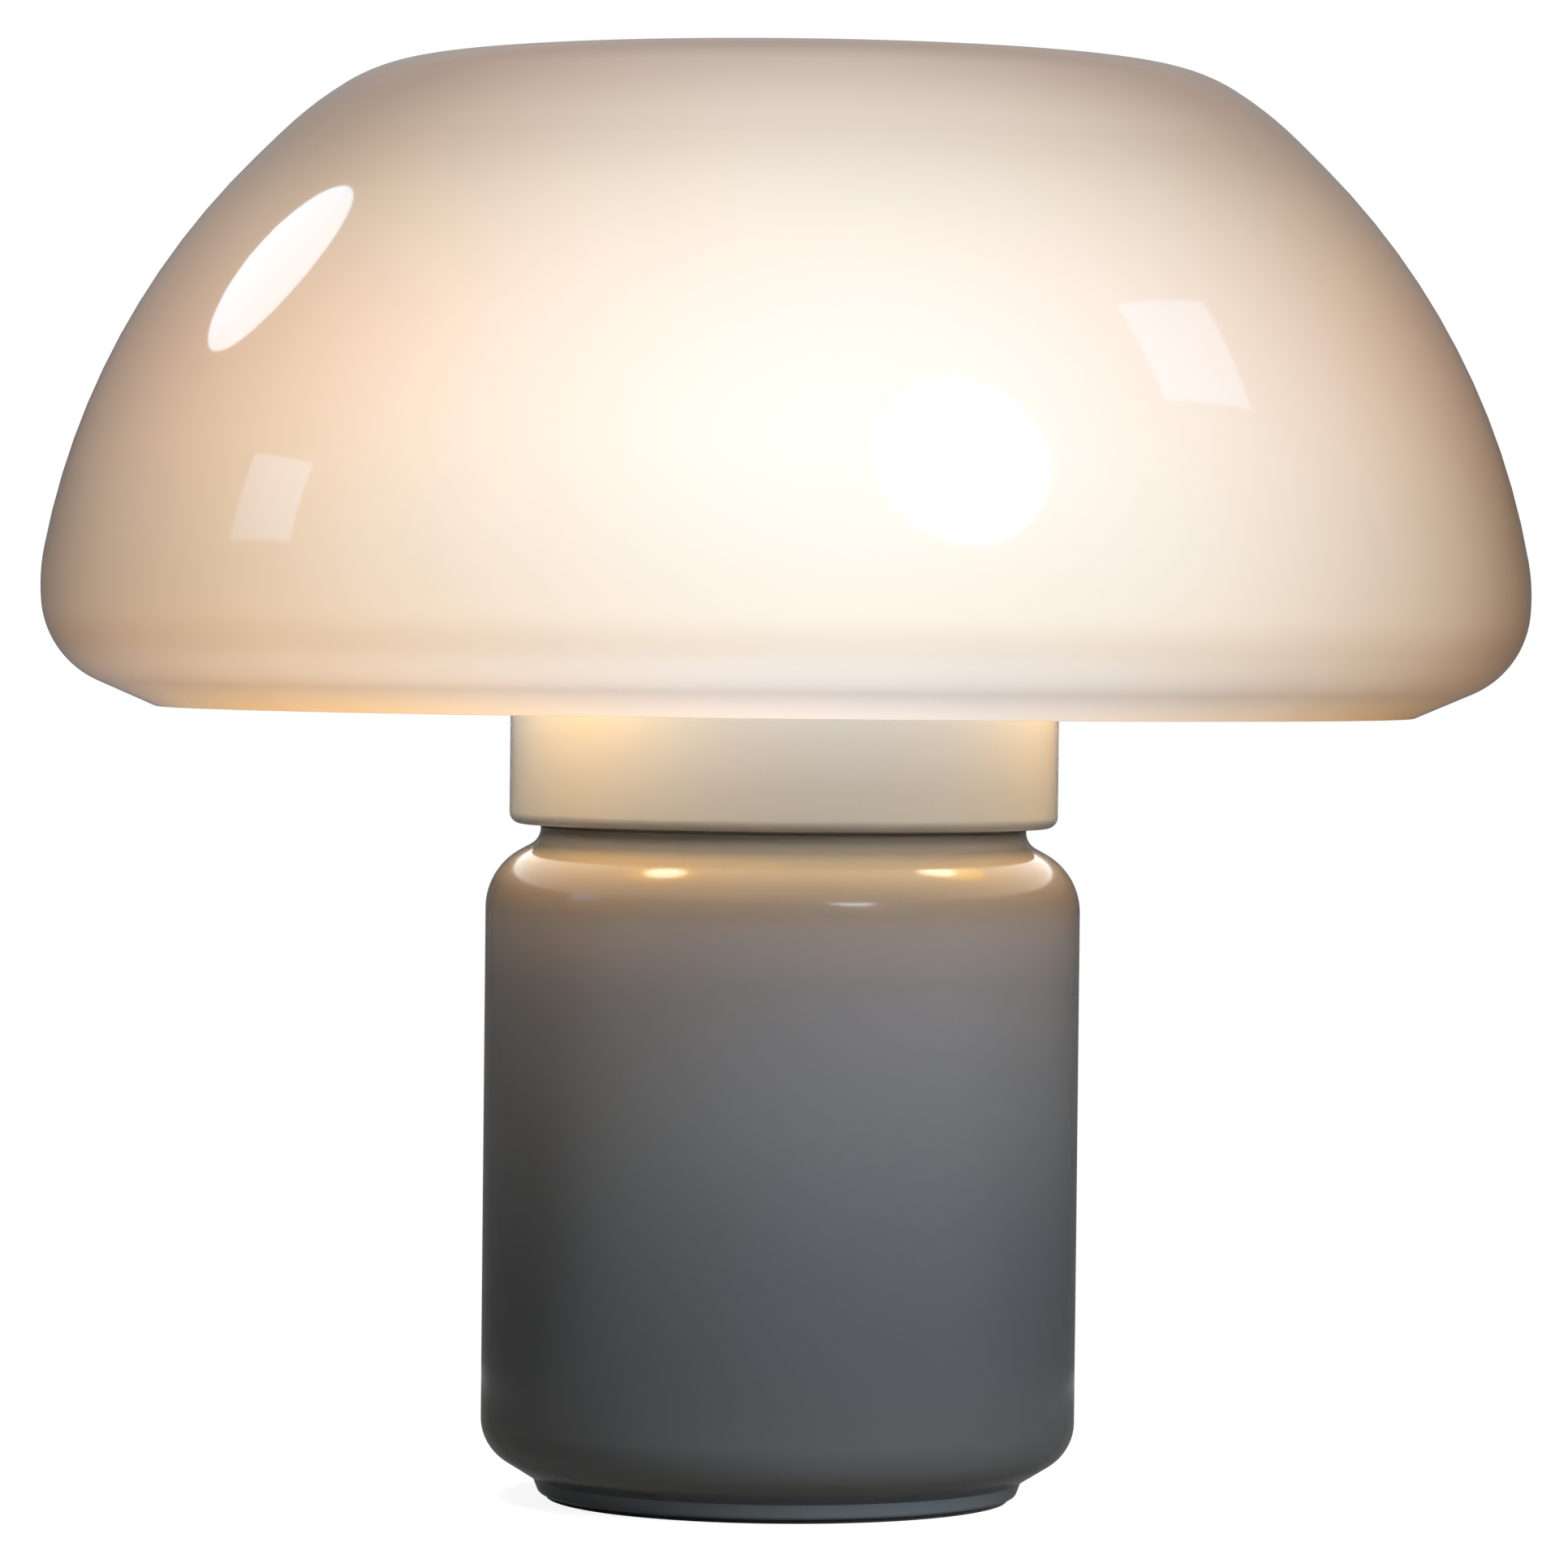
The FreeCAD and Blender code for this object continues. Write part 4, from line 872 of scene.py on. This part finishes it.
def make_rod():
    """A tube with an outside thread over its whole length."""
    root = ROD_RADIUS - ROD_THREAD_DEPTH
    crest_start, crest_end = ROD_CREST
    profile = (
        (0.0, root), (crest_start, ROD_RADIUS), (crest_end, ROD_RADIUS), (ROD_CREST_FOOT, root))
    bore = [(root, ROD_TOP), (ROD_BORE, ROD_TOP), (ROD_BORE, ROD_BOTTOM), (root, ROD_BOTTOM)]
    made = bmesh.new()
    screw_thread(made, profile, ROD_PITCH, ROD_BOTTOM, ROD_TOP, ROD_SEGMENTS)
    add_turned(made, bore, ROD_SEGMENTS, closed=False)
    join_parts(made)
    piece = finished_object("rod_with_thread", made, "lamp", NODE_SLOTS["threaded_rod"])
    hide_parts("threaded_rod")


def make_bulb_caps():
    """A cap with a rounded thread and a plain skirt, open towards the glass."""
    root = CAP_RADIUS - CAP_THREAD_DEPTH
    inside = root - CAP_WALL
    skirt_inside = CAP_RADIUS - CAP_WALL
    thread_start = CAP_START + CAP_SLOPE
    profile = []
    for step in range(CAP_THREAD_STEPS):
        swell = 1 - math.cos(2 * math.pi * step / CAP_THREAD_STEPS)
        profile.append((step / CAP_THREAD_STEPS, root + CAP_THREAD_DEPTH * swell / 2))
    skirt_and_inside = (
        (root, CAP_THREAD_END),
        (CAP_RADIUS, CAP_THREAD_END + CAP_SLOPE),
        (CAP_RADIUS, CAP_END),
        (skirt_inside, CAP_END),
        (skirt_inside, CAP_THREAD_END + CAP_INNER_SLOPE),
        (inside, CAP_THREAD_END),
        (inside, CAP_START + CAP_WALL),
        (CAP_HOLE, CAP_START + CAP_WALL),
        (CAP_HOLE, CAP_START),
        (root - CAP_EDGE, CAP_START),
        (root, thread_start),
    )
    for number, angle in enumerate(BULB_ANGLES, start=1):
        made = bmesh.new()
        screw_thread(made, profile, CAP_PITCH, thread_start, CAP_THREAD_END, CAP_SEGMENTS)
        add_turned(made, skirt_and_inside, CAP_SEGMENTS, closed=False)
        join_parts(made)
        made.transform(along_bulb(angle))
        node = f"bulb_cap_{number}"
        piece = finished_object(
            f"threaded_cap_{number}", made, f"bulb_{number}", NODE_SLOTS[node])
        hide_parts(node)


def half_head(made, head, slot_floor, side):
    """The part of a screw's rounded head on one side of its slot."""
    levels = []
    for rise, inset in SCREW_DOME:
        radius = head - inset
        limit = math.asin(SLOT_WIDTH / 2 / radius)
        level = []
        for index in range(HALF_HEAD_STEPS + 1):
            turn = limit + (math.pi - 2 * limit) * index / HALF_HEAD_STEPS
            level.append(made.verts.new(on_circle(radius * side, turn, slot_floor + rise)))
        levels.append(level)
    for lower, upper in zip(levels, levels[1:]):
        for index in range(len(lower)):
            after = (index + 1) % len(lower)
            made.faces.new((lower[index], lower[after], upper[after], upper[index]))
    made.faces.new(levels[-1])
    made.faces.new(list(reversed(levels[0])))


def slotted_screw(made, seat, sizes, reach, angle):
    """A round-headed screw pointing down, with a straight slot across its head."""
    shank, head, length = sizes
    point_inset, point_length = SCREW_POINT
    slot_floor = SCREW_HEAD_HEIGHT - SLOT_DEPTH
    first_vert = len(made.verts)
    outline = (
        (SCREW_AXIS, -length),
        (shank - point_inset, -length),
        (shank, -length + point_length),
        (shank, 0),
        (head, 0),
        (head, slot_floor),
        (SCREW_AXIS, slot_floor),
    )
    add_turned(made, outline, SCREW_SEGMENTS)
    half_head(made, head, slot_floor, 1)
    half_head(made, head, slot_floor, -1)
    made.verts.ensure_lookup_table()
    slot_turn = Matrix.Rotation(math.radians(SLOT_TURN + angle), 4, "Z")
    outward = Matrix.Translation((reach * MM, 0, seat * MM))
    swing = Matrix.Rotation(math.radians(angle), 4, "Z")
    bmesh.ops.transform(
        made, matrix=swing @ outward @ slot_turn, verts=made.verts[first_vert:])


def make_screws():
    """The screws of the collar's plate and of the brackets, which show when the shade is off."""
    rows = (
        ("plate_screws", PLATE_TOP, PLATE_SCREW, PLATE_SCREW_REACH, PLATE_SCREW_TURN),
        ("bracket_screws", BRACKET_TOP, BRACKET_SCREW, BRACKET_SCREW_REACH, 0.0),
    )
    for node, seat, sizes, reach, turn in rows:
        made = bmesh.new()
        for angle in BULB_ANGLES:
            slotted_screw(made, seat, sizes, reach, angle + turn)
        bmesh.ops.recalc_face_normals(made, faces=made.faces)
        piece = finished_object(f"slotted_{node}", made, "lamp", NODE_SLOTS[node])
        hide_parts(node)


def dress_cad_nodes():
    """Gives every node of the CAD the material of its slot."""
    for name, node in frame["nodes"].items():
        for place in node.material_slots:
            place.material = MATERIALS[NODE_SLOTS[name]]


# ---------------------------------------------------------------------------------------------
# Studio
# ---------------------------------------------------------------------------------------------

# what the background gives to surfaces, where 1 is white; the floor's lengths are in metres
AMBIENT = 0.08
FLOOR_COLOUR = rgb(0.45, 0.45, 0.45)
FLOOR_LIFT = 0.90
FLOOR_FADE = (0.30, 0.75)
FLOOR_RADIUS = 1.0
FLOOR_SEGMENTS = 96


def background_share(tree):
    """1 for camera, glossy and transmission rays, which see the white background; else 0."""
    path = tree.nodes.new("ShaderNodeLightPath")
    share = path.outputs["Is Camera Ray"]
    for ray in ("Is Glossy Ray", "Is Transmission Ray"):
        either = tree.nodes.new("ShaderNodeMath")
        either.operation = "MAXIMUM"
        tree.links.new(share, either.inputs[0])
        tree.links.new(path.outputs[ray], either.inputs[1])
        share = either.outputs[0]
    return share


def make_world():
    """A white background that gives little light of its own."""
    world = bpy.data.worlds.new("studio")
    bpy.context.scene.world = world
    world.use_nodes = True
    tree = world.node_tree
    background = tree.nodes["Background"]
    background.inputs["Color"].default_value = WHITE
    level = tree.nodes.new("ShaderNodeMapRange")
    level.inputs["To Min"].default_value = AMBIENT
    level.inputs["To Max"].default_value = 1.0
    tree.links.new(background_share(tree), level.inputs["Value"])
    tree.links.new(level.outputs["Result"], background.inputs["Strength"])


def make_floor():
    """A pale floor that keeps the lamp's shadow and runs out into the white background.

    It is clear from below, so that the underside of the lamp can be seen.
    """
    work = Shading("pale_floor")
    distance = work.add("ShaderNodeVectorMath", operation="LENGTH")
    work.feed(distance.inputs[0], work.object_place)
    fade_start, fade_end = FLOOR_FADE
    far = work.add(
        "ShaderNodeMapRange",
        {"Value": distance.outputs["Value"], "From Min": fade_start, "From Max": fade_end},
        interpolation_type="SMOOTHERSTEP")
    dust = work.cloud(scale=30.0, detail=3.0, low=0.99, high=1.01)
    work.surface(
        base_color=work.blend(dust, shaded(FLOOR_COLOUR, 0.99), FLOOR_COLOUR),
        roughness=0.9,
        specular_ior_level=0.1)
    white = work.add("ShaderNodeEmission", {"Color": WHITE, "Strength": 1.0})
    glow = work.add("ShaderNodeEmission", {"Color": WHITE, "Strength": FLOOR_LIFT})
    seen = background_share(work.tree)
    lifted = work.add("ShaderNodeAddShader")
    work.feed(lifted.inputs[0], work.shader.outputs[0])
    work.feed(lifted.inputs[1], glow.outputs[0])
    fading = work.add("ShaderNodeMixShader", {0: far.outputs["Result"]})
    work.feed(fading.inputs[1], lifted.outputs[0])
    work.feed(fading.inputs[2], white.outputs[0])
    chosen = work.add("ShaderNodeMixShader", {0: seen})
    work.feed(chosen.inputs[1], work.shader.outputs[0])
    work.feed(chosen.inputs[2], fading.outputs[0])
    from_below = work.add("ShaderNodeNewGeometry").outputs["Backfacing"]
    one_sided = work.add("ShaderNodeMixShader", {0: from_below})
    work.feed(one_sided.inputs[1], chosen.outputs[0])
    work.feed(one_sided.inputs[2], work.add("ShaderNodeBsdfTransparent").outputs[0])
    output = work.tree.nodes["Material Output"]
    work.feed(output.inputs["Surface"], one_sided.outputs[0])
    made = bmesh.new()
    bmesh.ops.create_circle(made, cap_ends=True, radius=FLOOR_RADIUS, segments=FLOOR_SEGMENTS)
    floor = mesh_object("floor", made, work.material)


# colours of the lights
COOL = (0.87, 0.93, 1.0)
PALE = (0.85, 0.93, 1.0)
SKY = (0.47, 0.75, 1.0)
DEEP_SKY = (0.30, 0.62, 1.0)
WARM = (1.0, 0.97, 0.90)

LAMP_MIDDLE = (0.0, 0.0, 0.15)

# Each light is (name, place, target, size, power, colour, shape), in metres and watts. The two
# windows also have the direction of their first side.
SOFT_LIGHTS = (
    ("key_soft", (1.282, -1.528, 1.08), LAMP_MIDDLE, (1.0, 1.0), 41.0, COOL, "SQUARE"),
    ("top_soft", (0.2, -0.2, 2.0), LAMP_MIDDLE, (1.2, 1.2), 4.0, COOL, "SQUARE"),
)
GLINTS = (
    (
        "glint_front", (0.867, -1.599, 1.376), (0.039, -0.170, 0.249),
        (0.92, 0.92), 78.0, PALE, "DISK",
    ),
    (
        "glint_left", (-1.456, 0.891, 1.403), (-0.118, -0.098, 0.293),
        (0.62, 0.62), 18.0, SKY, "DISK",
    ),
    (
        "glint_window_right", (1.588, -0.286, 1.590), (0.090, -0.138, 0.274),
        (0.53, 0.5), 6.0, DEEP_SKY, "RECTANGLE", (0.192, 0.472, -0.155),
    ),
    (
        "glint_window_left", (-2.000, -0.133, 0.930), (-0.116, -0.134, 0.239),
        (0.45, 0.34), 4.5, DEEP_SKY, "RECTANGLE", (0.034, -0.448, 0.055),
    ),
    (
        "glint_bulb_left", (-0.0525, -0.0609, 0.2034), (-0.0276, -0.0623, 0.1534),
        (0.020, 0.020), 0.026, WARM, "DISK",
    ),
    (
        "glint_bulb_right", (0.0690, -0.0399, 0.2092), (0.0363, -0.0569, 0.1541),
        (0.020, 0.020), 0.020, WARM, "DISK",
    ),
)


def make_light(name, place, target, size, power, colour, shape, across=None):
    """An area light of that size in metres, aimed at the target."""
    light = bpy.data.lights.new(name, "AREA")
    light.shape = shape
    light.size = size[0]
    if shape == "RECTANGLE":
        light.size_y = size[1]
    light.energy = power
    light.color = colour
    lamp = bpy.data.objects.new(name, light)
    bpy.context.scene.collection.objects.link(lamp)
    back = (Vector(place) - Vector(target)).normalized()
    side = Vector(across) if across else Vector((0, 0, 1)).cross(back)
    side = (side - back * side.dot(back)).normalized()
    up = back.cross(side)
    lamp.matrix_world = Matrix.Translation(place) @ Matrix((side, up, back)).transposed().to_4x4()
    lamp.visible_camera = False
    return lamp


def make_lights():
    """Soft light for the surfaces, and glints that only the gloss shows."""
    for row in SOFT_LIGHTS:
        make_light(*row).visible_glossy = False
    for row in GLINTS:
        make_light(*row).visible_diffuse = False


# the dark card, as (radius, height) in metres
FLAG_PROFILE = ((0.0565, 0.0004), (0.6, 0.002), (1.3, 0.002), (1.4, 0.1), (1.4, 0.5), (1.4, 1.0))
FLAG_STEPS = 90
# radii between which the cloth behind the lamp sets in
FLAG_BACK = (0.1, 0.35)
# Y over radius, from the side to the back, between which it sets in
FLAG_BEHIND = (-0.45, 0.1)
# radii between which the cloth all round the lamp ends
FLAG_NEAR = (0.25, 0.55)
# heights between which all cloth thins out to nothing, and how dense it is below them
FLAG_TOP = (0.35, 1.0)
FLAG_DEPTH = 0.86
# keeps X and Y of a place and drops its Z
LEVEL = (1, 1, 0)


def flag_cloth():
    """Black cloth that thins out towards its edges, so that its reflection has none."""
    work = Shading("dark_flag_cloth")
    ground = work.add(
        "ShaderNodeVectorMath", {0: work.object_place, 1: LEVEL}, operation="MULTIPLY")
    length = work.add("ShaderNodeVectorMath", {0: ground.outputs["Vector"]}, operation="LENGTH")
    radius = length.outputs["Value"]
    behind = work.math("DIVIDE", work.axis("Y"), radius)
    away = work.spread(radius, *FLAG_BACK, 0.0, 1.0)
    back = work.math("MULTIPLY", away, work.spread(behind, *FLAG_BEHIND, 0.0, 1.0))
    share = work.math("MAXIMUM", back, work.spread(radius, *FLAG_NEAR, 1.0, 0.0))
    share = work.math("MULTIPLY", share, work.spread(work.axis("Z"), *FLAG_TOP, FLAG_DEPTH, 0.0))
    work.surface(
        base_color=work.blend(work.noise(scale=300.0, detail=4.0), grey(0.01), grey(0.03)),
        roughness=1.0,
        specular_ior_level=0.0,
        alpha=share)
    return work.material


def make_flag():
    """A dark card behind the lamp and on the floor round it, which only reflections see."""
    made = bmesh.new()
    columns = []
    for index in range(FLAG_STEPS + 1):
        angle = math.radians(-90 + 360 * index / FLAG_STEPS)
        columns.append([
            made.verts.new((radius * math.cos(angle), radius * math.sin(angle), height))
            for radius, height in FLAG_PROFILE])
    for before, after in zip(columns, columns[1:]):
        for low in range(len(FLAG_PROFILE) - 1):
            made.faces.new((before[low], after[low], after[low + 1], before[low + 1]))
    flag = mesh_object("dark_flag", made, flag_cloth())
    flag.visible_camera = False
    flag.visible_diffuse = False
    flag.visible_transmission = False
    flag.visible_shadow = False


# ---------------------------------------------------------------------------------------------
# Camera
# ---------------------------------------------------------------------------------------------

# place in metres, lens and sensor in millimetres, angles in degrees
CAMERA_PLACE = (0.0, -1.850, 0.211)
CAMERA_LENS = 175.06
CAMERA_SENSOR = 36.0
CAMERA_PITCH = 1.165
CAMERA_ROLL = 0.6


def make_camera():
    """The photo's point of view; the roll is the lean that the lamp has in it."""
    data = bpy.data.cameras.new("camera")
    data.lens = CAMERA_LENS
    data.sensor_width = CAMERA_SENSOR
    camera = bpy.data.objects.new("camera", data)
    bpy.context.scene.collection.objects.link(camera)
    tilt = Matrix.Rotation(math.radians(90 - CAMERA_PITCH), 4, "X")
    roll = Matrix.Rotation(math.radians(CAMERA_ROLL), 4, "Z")
    camera.matrix_world = Matrix.Translation(CAMERA_PLACE) @ tilt @ roll
    bpy.context.scene.camera = camera


# ---------------------------------------------------------------------------------------------
# The whole scene
# ---------------------------------------------------------------------------------------------

dress_cad_nodes()
make_shade()
make_base()
make_foot()
make_collar()
make_bulbs()
make_bulb_caps()
make_rod()
make_screws()
make_world()
make_floor()
make_lights()
make_flag()
make_camera()
bpy.context.scene.view_settings.view_transform = "Standard"
